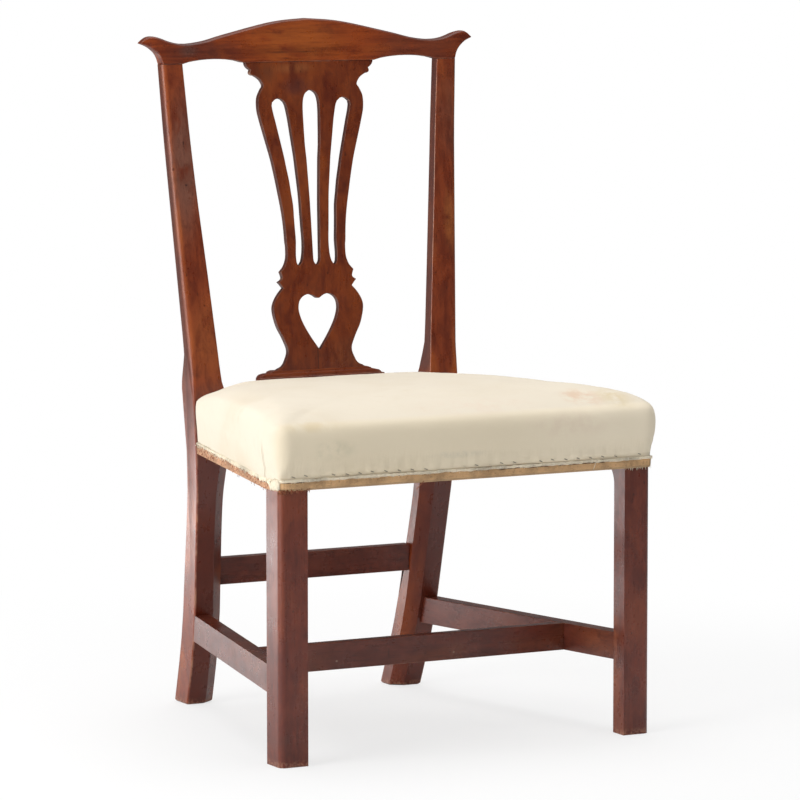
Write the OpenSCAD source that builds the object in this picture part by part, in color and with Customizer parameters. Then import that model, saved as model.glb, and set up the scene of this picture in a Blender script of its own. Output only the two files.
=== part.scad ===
// Chippendale side chair. Posts, legs, rails and stretchers are mortised together, a pierced
// splat stands between a shoe and the crest, and the seat is stuffed over its rails in muslin.
// X runs across the chair, Y from front to back and Z up, in millimetres. Left is the side of -X.
// Inside the modules Y is counted from the face of the front legs.

/* [Overall] */
// Width across the front legs
front_w = 558; // [510:2:610]
// Depth from the face of the front legs to the face of the back posts
seat_d = 416; // [380:2:450]
// Height of the top of the seat rails
rail_top = 436; // [420:2:456]
// Height of the back posts, up to the underside of the crest
stile_top = 900; // [870:2:950]

/* [Front legs] */
// Side of a square front leg
leg_size = 40.5; // [37:0.5:44]
// Radius on the outer front corner of a front leg
leg_round = 9; // [6:0.5:11]
// Chamfer on the inner back corner of a front leg
leg_chamfer = 12; // [8:0.5:14]
// Length of the curved end of each chamfer, under the rails
chamfer_stop = 25; // [15:1:30]

/* [Back posts] */
// Width across the two back feet
foot_span = 371; // [350:2:390]
// Width across the tops of the two posts
top_span = 461; // [441:2:481]
// Width of a back post at the floor
post_w = 45; // [42:0.5:48]
// Width of a back post just under the rails
post_seat_w = 52.5; // [49:0.5:55]
// Width of a back post at its top
stile_w = 32; // [29:0.5:36]
// Depth of a back foot
foot_d = 43; // [40:0.5:46]
// Depth of a back post under the rails
post_d = 34; // [33:0.5:37]
// Depth of a back post at the top of the rails
post_seat_d = 38; // [37:0.5:41]
// Depth of a back post at its top
stile_d = 20; // [18:0.5:23]
// Distance that a back foot stands behind the face of its post
foot_rake = 74; // [60:1:85]
// Distance that the top of a back post stands behind its face at the rails
stile_rake = 49; // [42:1:56]
// Chamfer on the inner front corner of a back post, across the front
post_chamfer_w = 17; // [12:0.5:19]
// Chamfer on the inner front corner of a back post, along the side
post_chamfer_d = 13; // [9:0.5:15]

/* [Seat rails] */
// Height of the seat rails
rail_h = 71; // [66:1:80]
// Thickness of the front and side rails
rail_t = 24; // [21:0.5:27]
// Thickness of the rear rail
rear_rail_t = 30; // [28:0.5:32]
// Height of the corner blocks
block_h = 40; // [30:1:50]

/* [Stretchers] */
// Height of the top of the side and medial stretchers
stretcher_top = 133; // [120:1:145]
// Height of the top of the rear stretcher
rear_stretcher_top = 210; // [200:1:225]
// Depth of each stretcher from top to bottom
stretcher_h = 37.5; // [33:0.5:40]
// Thickness of the side stretchers
stretcher_t = 22; // [19:0.5:23]
// Thickness of the medial stretcher
medial_t = 14; // [12:0.5:18]
// Thickness of the rear stretcher
rear_stretcher_t = 18; // [16:0.5:19]
// Distance from the face of the front legs to the face of the medial stretcher
medial_y = 154.5; // [120:1:200]

/* [Crest] */
// Length of each ear of the crest beyond its post
ear_l = 27; // [20:1:40]
// Height of the middle of the crest
crest_h = 60; // [54:1:70]
// Thickness of the crest
crest_t = 20; // [19:0.5:23]
// Distance that the middle of the crest bows back
crest_bow = 6.4; // [5:0.2:9]
// Distance that the tips of the ears sweep back
ear_sweep = 5; // [2:0.5:8]
// Rise of the arches between the splat and the posts
crest_arch = 6; // [4:0.5:9]

/* [Splat and shoe] */
// Width of the head of the splat
splat_w = 202; // [190:2:220]
// Thickness of the splat
splat_t = 9; // [8:0.5:11]
// Width of the shoe
shoe_w = 208; // [200:2:216]
// Height of the shoe
shoe_h = 35; // [32:1:40]
// Depth of the shoe from front to back
shoe_d = 18.5; // [17:0.5:20]

/* [Upholstery] */
// Rise of the middle of the seat over the rails
crown_h = 35; // [28:1:42]
// Distance that the stuffed edge stands out over the frame
cover_bulge = 12; // [8:0.5:16]
// Height of the bare strip along the lower edge of the rails
band_h = 14.5; // [12:0.5:20]
// Thickness of that strip
band_t = 2.5; // [1.5:0.1:3]
// Width of a webbing strap
strap_w = 50; // [44:1:56]
// Thickness of a webbing strap
strap_t = 2; // [1.5:0.1:2.4]
// Spacing of the tacks along the lower edge of the cover
tack_pitch = 20; // [16:1:26]

/* [Hidden] */

// Overrun of a cut past the face that it starts from
over = 1;
// Play round a tenon, a peg, a nail or a tack in its hole
fit = 0.1;
// Play at the end of a tenon
end_gap = 0.6;
// Space between cloth and what it covers
cloth_gap = 0.3;

// Tenons: thickness, the shoulder over and under one, and the lengths
tenon_t = 8;
rail_shoulder = 10;
stretcher_shoulder = 6;
front_tenon = 28;
side_tenon = 19;
rear_tenon = 20;
stretcher_tenon = 18;
medial_tenon = 10;
post_tenon_l = 16;
post_tenon_w = 16;
tongue_l = 13;
tongue_t = 6;
// Share of the splat's head that its upper tongue takes, and the same at its foot
head_tongue_share = 0.72;
foot_tongue_share = 0.5;

// Step from the outer face of a back post in to the side rail
side_rail_step = 5;

// Small edges of the back posts
post_round = 3;
stile_round = 11.5;
stile_top_round = 8;
stile_back_round = 8;
inner_back_round = 5;
crisp_edge = 0.8;
foot_wear = 2;
// Height over the rails in which the corners of a stile take their full radius
stile_blend_h = 60;
// Rings below and above the rails, and how closely they bunch towards the rails
low_rings = 20;
high_rings = 24;
ring_bunching = 1.6;
corner_steps = 4;

// Places of the rear rail and the stretcher behind the face of the posts, and of the splat's foot
rear_rail_set = 6;
rear_stretcher_set = 17;
splat_set = 21.5;
shoe_set = 17.5;

// Pegs through the rail tenons, and nails through the shoe
peg_d = 6;
peg_l = 24;
nail_d = 2.4;
nail_l = 38;
// Tacks: shank, length, head and thickness of the head
tack_d = 1.4;
tack_l = 9;
tack_head_d = 3.6;
tack_head_t = 0.6;
web_tack_head_d = 7;

// Webbing: distance of the strap ends from the edge of the rails, ramp of a woven crossing
strap_edge = 5;
strap_ramp = 8;
strap_gap = 0.2;
strap_tacks = 3;
strap_rear_clear = 5;
sackcloth_t = 1;
pad_inset = 22;
sackcloth_inset = 8;
inner_round = 1;
// Wall of the cover beside the webbing
cover_wall = 3;

// Posts under the rails. Each row holds the height as a share of the height of the rails'
// underside, then shares of the growth in width, of the growth in depth and of the foot's rake
low_post_shares = [
    [0.00, 0.00, 1.00, 1.00],
    [0.17, 0.00, 0.93, 0.70],
    [0.33, 0.00, 0.78, 0.48],
    [0.50, 0.00, 0.50, 0.34],
    [0.67, 0.00, 0.15, 0.20],
    [0.83, 0.17, 0.00, 0.07],
    [0.95, 1.00, 0.00, 0.015],
    [1.00, 1.00, 0.00, 0.00]
];
// Height at which the post has its full width for the rails, as a share of their underside
seat_block_share = 0.95;
// Posts over the rails, with the height as a share of the height of the stile
high_post_shares = [
    [0.000, 1.00, 1.00, 0.00],
    [0.020, 0.82, 1.02, 0.012],
    [0.043, 0.60, 1.05, 0.03],
    [0.073, 0.54, 0.83, 0.06],
    [0.106, 0.51, 0.50, 0.10],
    [0.138, 0.50, 0.17, 0.14],
    [0.353, 0.36, 0.08, 0.373],
    [0.569, 0.20, 0.03, 0.62],
    [0.784, 0.09, 0.01, 0.843],
    [1.000, 0.00, 0.00, 1.00]
];

// Top of the crest: share of its half length, share of its height
crest_top_shares = [
    [0.000, 1.000], [0.136, 0.960], [0.233, 0.900], [0.329, 0.815], [0.426, 0.720],
    [0.523, 0.626], [0.620, 0.521], [0.713, 0.467], [0.760, 0.465], [0.806, 0.488],
    [0.850, 0.540], [0.895, 0.612], [0.934, 0.648], [0.961, 0.633], [0.982, 0.576],
    [1.000, 0.500]
];
// Underside of an ear: share of its length beyond the post, share of the crest's height
ear_under_shares = [
    [0.00, 0.00], [0.05, 0.085], [0.13, 0.170], [0.27, 0.255], [0.48, 0.345], [0.72, 0.425],
    [1.00, 0.485]
];
// Step from the post's outer face in to the start of an ear, and how much an ear thins out
ear_set = 3;
ear_thinning = 8;
// Flattening of the arches, and how far the crest leans back for its height
arch_power = 0.7;
crest_lean_share = 0.1;
crest_front_round = 4;
crest_back_round = 7;
crest_under_round = 1.5;
ear_under_round = 4;
// Share of an ear's length in which its lower edges take their full radius
ear_round_share = 0.3;
crest_stations = 30;
ear_stations = 14;

// Edge of the splat from the shoe up, in stretches that meet at sharp corners. Each point holds
// a share of the head's half width and a share of the height between the shoe and the crest
splat_edge_shares = [
    [[0.743, -0.04], [0.683, 0.00], [0.588, 0.013], [0.535, 0.030], [0.491, 0.063], [0.553, 0.103],
     [0.643, 0.145], [0.692, 0.193], [0.673, 0.221], [0.603, 0.248], [0.528, 0.267]],
    [[0.528, 0.267], [0.568, 0.279], [0.601, 0.287]],
    [[0.601, 0.287], [0.558, 0.293], [0.538, 0.301], [0.563, 0.320]],
    [[0.563, 0.320], [0.495, 0.338], [0.453, 0.365], [0.448, 0.400], [0.456, 0.417],
     [0.464, 0.455], [0.479, 0.494], [0.503, 0.534], [0.533, 0.573], [0.564, 0.613],
     [0.595, 0.650], [0.633, 0.690], [0.680, 0.730], [0.727, 0.769], [0.773, 0.809],
     [0.808, 0.846], [0.805, 0.885], [0.748, 0.914]],
    [[0.748, 0.914], [0.721, 0.925], [0.765, 0.944], [0.845, 0.957], [0.882, 0.959]],
    [[0.882, 0.959], [0.912, 0.963], [0.918, 0.970], [0.905, 0.976]],
    [[0.905, 0.976], [0.950, 0.984], [0.980, 0.996], [0.985, 1.02]]
];
// Outer slots: height share, shares of the half width for the outer and the inner edge
outer_slot_shares = [
    [0.338, 0.280, 0.280], [0.350, 0.313, 0.228], [0.378, 0.320, 0.200], [0.417, 0.312, 0.192],
    [0.455, 0.320, 0.200], [0.494, 0.328, 0.208], [0.534, 0.334, 0.215], [0.573, 0.358, 0.223],
    [0.613, 0.381, 0.239], [0.650, 0.412, 0.254], [0.690, 0.444, 0.270], [0.730, 0.482, 0.293],
    [0.769, 0.521, 0.316], [0.809, 0.560, 0.339], [0.846, 0.598, 0.368], [0.870, 0.597, 0.403],
    [0.883, 0.498, 0.498]
];
// Middle slot: height share, share of the half width
middle_slot_shares = [
    [0.339, 0.000], [0.350, 0.047], [0.378, 0.056], [0.455, 0.064], [0.534, 0.072],
    [0.573, 0.079], [0.650, 0.094], [0.690, 0.103], [0.730, 0.118], [0.809, 0.129],
    [0.846, 0.131], [0.870, 0.125], [0.888, 0.107], [0.900, 0.072], [0.908, 0.000]
];
// Half of the heart from its tip to its notch
heart_shares = [
    [[0.00, 0.061], [0.055, 0.078], [0.160, 0.114], [0.255, 0.154], [0.300, 0.184],
     [0.309, 0.204], [0.291, 0.223], [0.240, 0.237], [0.165, 0.244], [0.085, 0.241],
     [0.00, 0.228]]
];
spline_steps = 4;

// Shoe moulding from its foot up: share of the inset, share of the height
shoe_shares = [
    [0.00, 0.00], [0.00, 0.66], [0.16, 0.68], [0.20, 0.73], [0.33, 0.745], [0.35, 0.79],
    [0.45, 0.85], [0.62, 0.885], [0.80, 0.895], [0.83, 0.95], [1.00, 1.00]
];
shoe_end_inset = 31;
shoe_end_taper = 9.5;
shoe_front_inset = 4;

// Rings of the stuffed seat from the lower edge of the cover up. Each row holds a share of the
// cover's whole height, a share of the bulge (of the roll, where it is below nought), the share
// of the way in to the middle and, where there is one, a share of the drop at the back corners
cover_ring_shares = [
    [0.000, 0.22, 0], [0.040, 0.30, 0], [0.140, 0.50, 0], [0.260, 0.70, 0], [0.380, 0.88, 0],
    [0.520, 1.00, 0], [0.640, 0.97, 0], [0.730, 0.86, 0], [0.800, 0.67, 0, 0.4],
    [0.860, 0.32, 0, 0.9], [0.900, -0.18, 0, 0.75], [0.928, -0.50, 0.02, 0.5],
    [0.950, -0.50, 0.08, 0.35], [0.968, -0.50, 0.20, 0.1], [0.984, -0.50, 0.40], [0.995, -0.50, 0.68]
];
// Height of the stuffed edge along the depth of the seat, as a share of its height mid-seat
cover_edge_shares = [
    [0.00, 0.895], [0.03, 0.92], [0.07, 0.955], [0.10, 0.975], [0.14, 0.998], [0.22, 1.017],
    [0.30, 1.01], [0.38, 1.00], [0.46, 1.00], [0.69, 0.975], [0.81, 0.95], [0.96, 0.92], [1.00, 0.91]
];
// Bulge at the back of the sides, as a share of the bulge at the front
rear_bulge_share = 0.45;
// Roll of the stuffed edge in over the rails: at the front, at the back of the sides and along
// the rear edge
front_roll = 20;
rear_roll = 42;
rear_edge_roll = 2;
// Drop of the stuffed edge at the back corners, and how closely it keeps to them
corner_drop = 11;
corner_power = 6;
cover_front_points = 7;
cover_side_points = 15;
cover_rear_points = 8;

front_half = front_w / 2;
front_in = front_half - leg_size;
rail_bottom = rail_top - rail_h;
rail_mid = (rail_top + rail_bottom) / 2;
stile_h = stile_top - rail_top;
seat_block_z = rail_bottom * seat_block_share;
seat_in = post_out(seat_block_z) - post_seat_w;
seat_top_w = post_out(rail_top) - seat_in;
rail_rear_x = post_out(rail_mid) - side_rail_step;
side_angle = atan2(front_half - rail_rear_x, seat_d - leg_size);
rail_across = rail_t / cos(side_angle);
side_bottom = stretcher_top - stretcher_h;
side_mid = stretcher_top - stretcher_h / 2;
rear_bottom = rear_stretcher_top - stretcher_h;
rear_mid = rear_stretcher_top - stretcher_h / 2;
rear_rail_y = seat_d + rear_rail_set;
rear_stretcher_y = post_front(rear_mid) + rear_stretcher_set;
strut_angle = atan2(front_half - post_out(side_mid), post_front(side_mid) - leg_size);
strut_across = stretcher_t / cos(strut_angle);
crest_half = top_span / 2 + ear_l;
post_top_in = post_in(stile_top);
post_top_out = post_out(stile_top);
crest_face = post_front(stile_top);
shoe_y = seat_d + shoe_set;
shoe_top = rail_top + shoe_h;
splat_foot_y = seat_d + splat_set;
splat_head_y = crest_face + crest_bow;
splat_lean = atan2(splat_head_y - splat_foot_y, stile_top - shoe_top);
splat_half = splat_w / 2;
splat_l = (stile_top - shoe_top) / cos(splat_lean);
cover_rear = shoe_y - cloth_gap;
cover_bottom = rail_bottom + band_h + cloth_gap;
cover_h = rail_top + crown_h - cover_bottom;
web_top = rail_top + 2 * strap_t + 2 * strap_gap;
sackcloth_top = web_top + sackcloth_t;
pad_bottom = sackcloth_top + cloth_gap;
pad_top = rail_top + crown_h / 2;
strap_rear = cover_rear - strap_rear_clear;
tack_z = rail_bottom + band_h - tack_head_d / 2;
block_front_y = leg_size + post_seat_w;

// Value between two others at a share of the way
function mix(a, b, t) = a + (b - a) * t;

// Cubic curve between two values that leaves and arrives along two slopes
function hermite(a, b, leave, arrive, s) =
    a * (2 * s * s * s - 3 * s * s + 1) + leave * (s * s * s - 2 * s * s + s)
    + b * (3 * s * s - 2 * s * s * s) + arrive * (s * s * s - s * s);

// Smooth curve through a column of a table whose first column is the way along
function slope(rows, col, i) =
    let (a = max(i - 1, 0), b = min(i + 1, len(rows) - 1))
    (rows[b][col] - rows[a][col]) / (rows[b][0] - rows[a][0]);
function curve(rows, t, col = 1, i = 0) =
    i < len(rows) - 2 && t > rows[i + 1][0] ? curve(rows, t, col, i + 1) :
    let (span = rows[i + 1][0] - rows[i][0])
    hermite(rows[i][col], rows[i + 1][col], span * slope(rows, col, i),
            span * slope(rows, col, i + 1), (t - rows[i][0]) / span);

// Smooth line through points, without the last one
function bend(points, i) = (points[min(i + 1, len(points) - 1)] - points[max(i - 1, 0)]) / 2;
function spline(points) = [
    for (i = [0:len(points) - 2], k = [0:spline_steps - 1])
        hermite(points[i], points[i + 1], bend(points, i), bend(points, i + 1), k / spline_steps)
];

function reversed(list) = [for (i = [len(list) - 1:-1:0]) list[i]];
function mirrored(points) = [for (p = reversed(points)) [-p.x, p.y]];
function last(list) = list[len(list) - 1];

// Points of an arc that turns left through a quarter from an angle
function quarter(c, r, from, steps = corner_steps) = [
    for (k = [0:steps]) c + r * [cos(from + 90 * k / steps), sin(from + 90 * k / steps)]
];

// Outline of a back post
function post_out(z) = mix(foot_span, top_span, z / stile_top) / 2;
function high_share(z) = (z - rail_top) / stile_h;
function post_in(z) =
    z < seat_block_z
        ? post_out(z) - mix(post_w, post_seat_w, curve(low_post_shares, z / rail_bottom, 1)) :
    z <= rail_top ? seat_in :
    post_out(z) - mix(stile_w, seat_top_w, curve(high_post_shares, high_share(z), 1));
function post_front(z) =
    z < rail_bottom ? seat_d + foot_rake * curve(low_post_shares, z / rail_bottom, 3) :
    z <= rail_top ? seat_d :
    seat_d + stile_rake * curve(high_post_shares, high_share(z), 3);
function post_depth(z) =
    z < rail_bottom ? mix(post_d, foot_d, curve(low_post_shares, z / rail_bottom, 2)) :
    z <= rail_top ? mix(post_d, post_seat_d, (z - rail_bottom) / rail_h) :
    mix(stile_d, post_seat_d, curve(high_post_shares, high_share(z), 2));
function stile_blend(z) = min(max((z - rail_top) / stile_blend_h, 0), 1);
function chamfer_share(z) =
    let (u = (z - rail_bottom + chamfer_stop) / chamfer_stop)
    u <= 0 ? 1 : u >= 1 ? 0 : sqrt(1 - u * u);

// One ring of the right post, drawn in by the wear of its foot
function post_ring(z, wear = 0) =
    let (
        x0 = post_in(z) + wear,
        x1 = post_out(z) - wear,
        y0 = post_front(z) + wear,
        y1 = y0 + post_depth(z) - 2 * wear,
        cut = chamfer_share(z),
        cw = mix(crisp_edge, post_chamfer_w, cut),
        cd = mix(crisp_edge, post_chamfer_d, cut),
        rf = mix(post_round, mix(stile_round, stile_top_round, max(high_share(z), 0)), stile_blend(z)),
        rb = mix(post_round, stile_back_round, stile_blend(z)),
        plan = concat(
            [[x0, y0 + cd], [x0 + cw, y0]],
            quarter([x1 - rf, y0 + rf], rf, -90),
            quarter([x1 - rb, y1 - rb], rb, 0),
            quarter([x0 + inner_back_round, y1 - inner_back_round], inner_back_round, 90)))
    [for (p = plan) [p.x, p.y, z]];

// Heights of the rings. None falls inside a joint, so each shoulder meets a flat face
flat_zones = [
    [side_bottom, stretcher_top], [rear_bottom, rear_stretcher_top], [rail_bottom, rail_top]
];
free_levels = concat(
    [for (i = [1:low_rings]) rail_bottom * (1 - pow(1 - i / low_rings, ring_bunching))],
    [for (i = [1:high_rings]) rail_top + stile_h * pow(i / high_rings, ring_bunching)]);
function levels_between(z0, z1) = [for (z = free_levels) if (z > z0 + over && z < z1 - over) z];
post_levels = concat(
    levels_between(foot_wear, side_bottom), flat_zones[0],
    levels_between(stretcher_top, rear_bottom), flat_zones[1],
    levels_between(rear_stretcher_top, rail_bottom), flat_zones[2],
    levels_between(rail_top, stile_top), [stile_top]);
post_rings = concat(
    [post_ring(0, foot_wear)], [post_ring(foot_wear)], [for (z = post_levels) post_ring(z)]);
// Middle of the chair from front to back, where its origin stands
rear_end = max([for (ring = post_rings, p = ring) p.y]);
y_mid = (rear_end - cover_bulge) / 2;

// Solid through rings of points that turn left seen from the last ring
module loft(rings) {
    n = len(rings[0]);
    m = len(rings);
    sides = [
        for (k = [0:m - 2], i = [0:n - 1])
            let (a = k * n + i, b = k * n + (i + 1) % n)
            each [[a, a + n, b + n], [a, b + n, b]]
    ];
    bottom = [for (i = [0:n - 1]) i];
    top = [for (i = [n - 1:-1:0]) (m - 1) * n + i];
    polyhedron([for (ring = rings, p = ring) p], concat([bottom], sides, [top]));
}

module chair() { translate([0, -y_mid, 0]) children(); }
module both_sides() { children(); mirror([1, 0, 0]) children(); }
module left_side() { mirror([1, 0, 0]) children(); }

// Box between two corners
module block(a, b) { translate(a) cube(b - a); }

// Plan outline of the seat frame, moved out by a distance, from the front to a given depth
function rail_x(y) = mix(front_half, rail_rear_x, (y - leg_size) / (seat_d - leg_size));
function frame_corner(out, steps = corner_steps) =
    let (r = max(leg_round + out, inner_round))
    quarter([front_half + out - r, r - out], r, -90, steps);
function frame_side(out, y_end) =
    let (
        n = [cos(side_angle), sin(side_angle)],
        knee = [front_half, leg_size] + out * ([1, 0] + n) / (1 + n.x))
    [knee, [rail_x(y_end) + out / cos(side_angle), y_end]];
function frame_half(out, y_end) = concat(frame_corner(out), frame_side(out, y_end));
module frame_plan(out, y_end) {
    half = frame_half(out, y_end);
    polygon(concat(half, mirrored(half)));
}

// Tenons. Each starts inside its own rail and is cut out of the other piece with some play
module front_rail_tenon(gap = 0) {
    block([front_in - over, (rail_t - tenon_t) / 2 - gap, rail_bottom + rail_shoulder - gap],
          [front_in + front_tenon + gap * end_gap / fit, (rail_t + tenon_t) / 2 + gap,
           rail_top - rail_shoulder + gap]);
}
module side_rail_tenons(gap = 0) {
    for (end = [[front_half, leg_size - side_tenon, leg_size],
                [rail_rear_x, seat_d, seat_d + side_tenon]]) {
        x = end[0] - rail_across / 2;
        far = gap * end_gap / fit;
        front = end[1] < leg_size;
        block([x - tenon_t / 2 - gap, end[1] - (front ? far : over),
               rail_bottom + rail_shoulder - gap],
              [x + tenon_t / 2 + gap, end[2] + (front ? over : far),
               rail_top - rail_shoulder + gap]);
    }
}
module rear_rail_tenon(gap = 0) {
    y = rear_rail_y + rear_rail_t / 2;
    block([seat_in - over, y - tenon_t / 2 - gap, rail_bottom + rail_shoulder - gap],
          [seat_in + rear_tenon + gap * end_gap / fit, y + tenon_t / 2 + gap,
           rail_top - rail_shoulder + gap]);
}
module side_stretcher_tenons(gap = 0) {
    far = gap * end_gap / fit;
    z0 = side_bottom + stretcher_shoulder - gap;
    z1 = stretcher_top - stretcher_shoulder + gap;
    x0 = front_half - strut_across / 2;
    x1 = post_out(side_mid) - strut_across / 2;
    block([x0 - tenon_t / 2 - gap, leg_size - stretcher_tenon - far, z0],
          [x0 + tenon_t / 2 + gap, leg_size + over, z1]);
    block([x1 - tenon_t / 2 - gap, post_front(stretcher_top) - over, z0],
          [x1 + tenon_t / 2 + gap, post_front(side_mid) + stretcher_tenon + far, z1]);
}
module medial_tenon_box(gap = 0) {
    y = medial_y + medial_t / 2;
    x = strut_x(y) - strut_across;
    block([x - medial_t / 2, y - tenon_t / 2 - gap, side_bottom + stretcher_shoulder - gap],
          [x + medial_tenon + gap * end_gap / fit, y + tenon_t / 2 + gap,
           stretcher_top - stretcher_shoulder + gap]);
}
module rear_stretcher_tenon(gap = 0) {
    y = rear_stretcher_y + rear_stretcher_t / 2;
    block([post_in(rear_bottom) - rear_stretcher_t, y - tenon_t / 2 - gap,
           rear_bottom + stretcher_shoulder - gap],
          [post_in(rear_mid) + stretcher_tenon + gap * end_gap / fit, y + tenon_t / 2 + gap,
           rear_stretcher_top - stretcher_shoulder + gap]);
}
module post_tenon(gap = 0) {
    x = (post_top_in + post_top_out) / 2;
    y = crest_face + stile_d / 2;
    block([x - post_tenon_w / 2 - gap, y - tenon_t / 2 - gap, stile_top - over],
          [x + post_tenon_w / 2 + gap, y + tenon_t / 2 + gap,
           stile_top + post_tenon_l + gap * end_gap / fit]);
}

// Pegs through the rail tenons: place and turn of each on the right side
module peg(gap = 0) { cylinder(d = peg_d + 2 * gap, h = peg_l, $fn = 32); }
module pegs(gap = 0) {
    translate([front_in + front_tenon / 2, 0, rail_mid]) rotate([-90, 0, 0]) peg(gap);
    translate([front_half, leg_size - side_tenon / 2, rail_mid]) rotate([0, -90, 0]) peg(gap);
    translate([rail_rear_x, seat_d + side_tenon / 2, rail_mid]) rotate([0, -90, 0]) peg(gap);
    translate([seat_in + rear_tenon / 2, rear_rail_y + rear_rail_t, rail_mid])
        rotate([90, 0, 0]) peg(gap);
}

// Tack that points along +Z, with its head under the origin
module tack(head_d, gap = 0) {
    cylinder(d = tack_d + 2 * gap, h = tack_l, $fn = 16);
    translate([0, 0, -tack_head_t]) cylinder(d = head_d + 2 * gap, h = tack_head_t, $fn = 24);
}

// Tacks along the lower edge of the cover, on the right half
module cover_tack_places() {
    face_l = front_half - leg_round;
    count = round(face_l / tack_pitch);
    for (i = [0:count - 1])
        translate([face_l * (i + 1 / 2) / count, -band_t, tack_z]) rotate([-90, 0, 0]) children();
    translate([front_half + band_t, (leg_size + leg_round) / 2, tack_z])
        rotate([0, -90, 0]) children();
    side_l = seat_d - leg_size;
    side_count = round(side_l / tack_pitch);
    for (i = [0:side_count - 1]) {
        y = leg_size + side_l * (i + 1 / 2) / side_count;
        translate([rail_x(y), y, tack_z]) rotate([0, 0, side_angle]) translate([band_t, 0, 0])
            rotate([0, -90, 0]) children();
    }
}
module cover_tack_set(gap = 0) {
    both_sides() cover_tack_places() tack(tack_head_d, gap);
}

// Webbing: straps and their tacks
long_x = seat_in - strap_w / 2 - strap_edge;
long_places = [-long_x, 0, long_x];
cross_step = (strap_rear - block_front_y) / 3;
cross_places = [for (j = [0:2]) block_front_y - over + cross_step * (j + 1 / 2)];
function crosses_over(i, j) = (i + j) % 2 == 0;
// Line of a strap: level on the rails, lifted where it goes over a strap that crosses it
function strap_line(from, to, crossings) = concat(
    [[from, 0]],
    [for (c = crossings)
        let (flat = strap_w / 2 + strap_gap, lift = strap_t + strap_gap)
        each [[c - flat - strap_ramp, 0], [c - flat, lift], [c + flat, lift],
              [c + flat + strap_ramp, 0]]],
    [[to, 0]]);
module strap_profile(line) {
    polygon(concat(line, [for (p = reversed(line)) p + [0, strap_t]]));
}
function cross_half(j) = rail_x(cross_places[j] + strap_w / 2) - strap_edge;
module strap_tack_places() {
    step = strap_w / (strap_tacks + 1);
    for (i = [0:2], y = [strap_edge + rail_t / 3, (rear_rail_y + strap_rear) / 2],
         k = [1:strap_tacks])
        translate([long_places[i] - strap_w / 2 + step * k, y, rail_top + strap_t]) children();
    for (j = [0:2], s = [-1, 1], k = [1:strap_tacks])
        translate([s * (cross_half(j) - rail_t / 4),
                   cross_places[j] - strap_w / 2 + step * k, rail_top + strap_t]) children();
}
module strap_tack_set(gap = 0) {
    strap_tack_places() rotate([180, 0, 0]) tack(web_tack_head_d, gap);
}
module long_webbing(i) {
    over_at = [for (j = [0:2]) if (crosses_over(i, j)) cross_places[j]];
    color("burlywood") chair() difference() {
        translate([long_places[i] - strap_w / 2, 0, rail_top]) rotate([90, 0, 90])
            linear_extrude(strap_w) strap_profile(strap_line(strap_edge, strap_rear, over_at));
        strap_tack_set(fit);
    }
}
module cross_webbing(j) {
    over_at = [for (i = [0:2]) if (!crosses_over(i, j)) long_places[i]];
    color("burlywood") chair() difference() {
        translate([0, cross_places[j] + strap_w / 2, rail_top]) rotate([90, 0, 0])
            linear_extrude(strap_w)
                strap_profile(strap_line(-cross_half(j), cross_half(j), over_at));
        strap_tack_set(fit);
    }
}
module webbing_tacks() { color("dimgray") chair() strap_tack_set(); }

// Back posts
module back_post() {
    color("saddlebrown") difference() {
        union() {
            loft(post_rings);
            post_tenon();
        }
        side_rail_tenons(fit);
        rear_rail_tenon(fit);
        side_stretcher_tenons(fit);
        rear_stretcher_tenon(fit);
        pegs(fit);
    }
}
module right_back_post() { chair() back_post(); }
module left_back_post() { chair() left_side() back_post(); }

// Front legs: a square with one round corner, and a chamfer that curves out under the rails
module front_leg() {
    chamfer_depth = leg_chamfer / sqrt(2);
    stop_r = (chamfer_stop * chamfer_stop + chamfer_depth * chamfer_depth) / 2 / chamfer_depth;
    stop_z = rail_bottom - chamfer_stop;
    color("saddlebrown") difference() {
        linear_extrude(rail_top) polygon(concat(
            [[front_in, 0]], frame_corner(0), [[front_half, leg_size], [front_in, leg_size]]));
        translate([front_in, leg_size, 0]) rotate([0, 0, 45]) {
            block([-leg_size, -chamfer_depth, -over], [leg_size, leg_size, stop_z]);
            translate([-leg_size, stop_r - chamfer_depth, stop_z]) rotate([0, 90, 0])
                cylinder(r = stop_r, h = 2 * leg_size, $fn = 64);
        }
        front_rail_tenon(fit);
        side_rail_tenons(fit);
        side_stretcher_tenons(fit);
        pegs(fit);
        cover_tack_places() tack(tack_head_d, fit);
    }
}
module front_right_leg() { chair() front_leg(); }
module front_left_leg() { chair() left_side() front_leg(); }

// Seat rails
module front_seat_rail() {
    color("peru") chair() difference() {
        union() {
            block([-front_in, 0, rail_bottom], [front_in, rail_t, rail_top]);
            both_sides() front_rail_tenon();
        }
        both_sides() pegs(fit);
        cover_tack_set(fit);
        strap_tack_set(fit);
    }
}
module side_seat_rail() {
    color("peru") difference() {
        union() {
            translate([0, 0, rail_bottom]) linear_extrude(rail_h) polygon([
                [front_half, leg_size], [rail_rear_x, seat_d],
                [rail_rear_x - rail_across, seat_d], [front_half - rail_across, leg_size]]);
            side_rail_tenons();
        }
        pegs(fit);
        cover_tack_places() tack(tack_head_d, fit);
        strap_tack_set(fit);
    }
}
module right_seat_rail() { chair() side_seat_rail(); }
module left_seat_rail() { chair() left_side() side_seat_rail(); }
module rear_seat_rail() {
    color("peru") chair() difference() {
        union() {
            block([-seat_in, rear_rail_y, rail_bottom],
                  [seat_in, rear_rail_y + rear_rail_t, rail_top]);
            both_sides() rear_rail_tenon();
        }
        both_sides() pegs(fit);
        both_sides() shoe_nail(fit);
        strap_tack_set(fit);
    }
}

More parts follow.
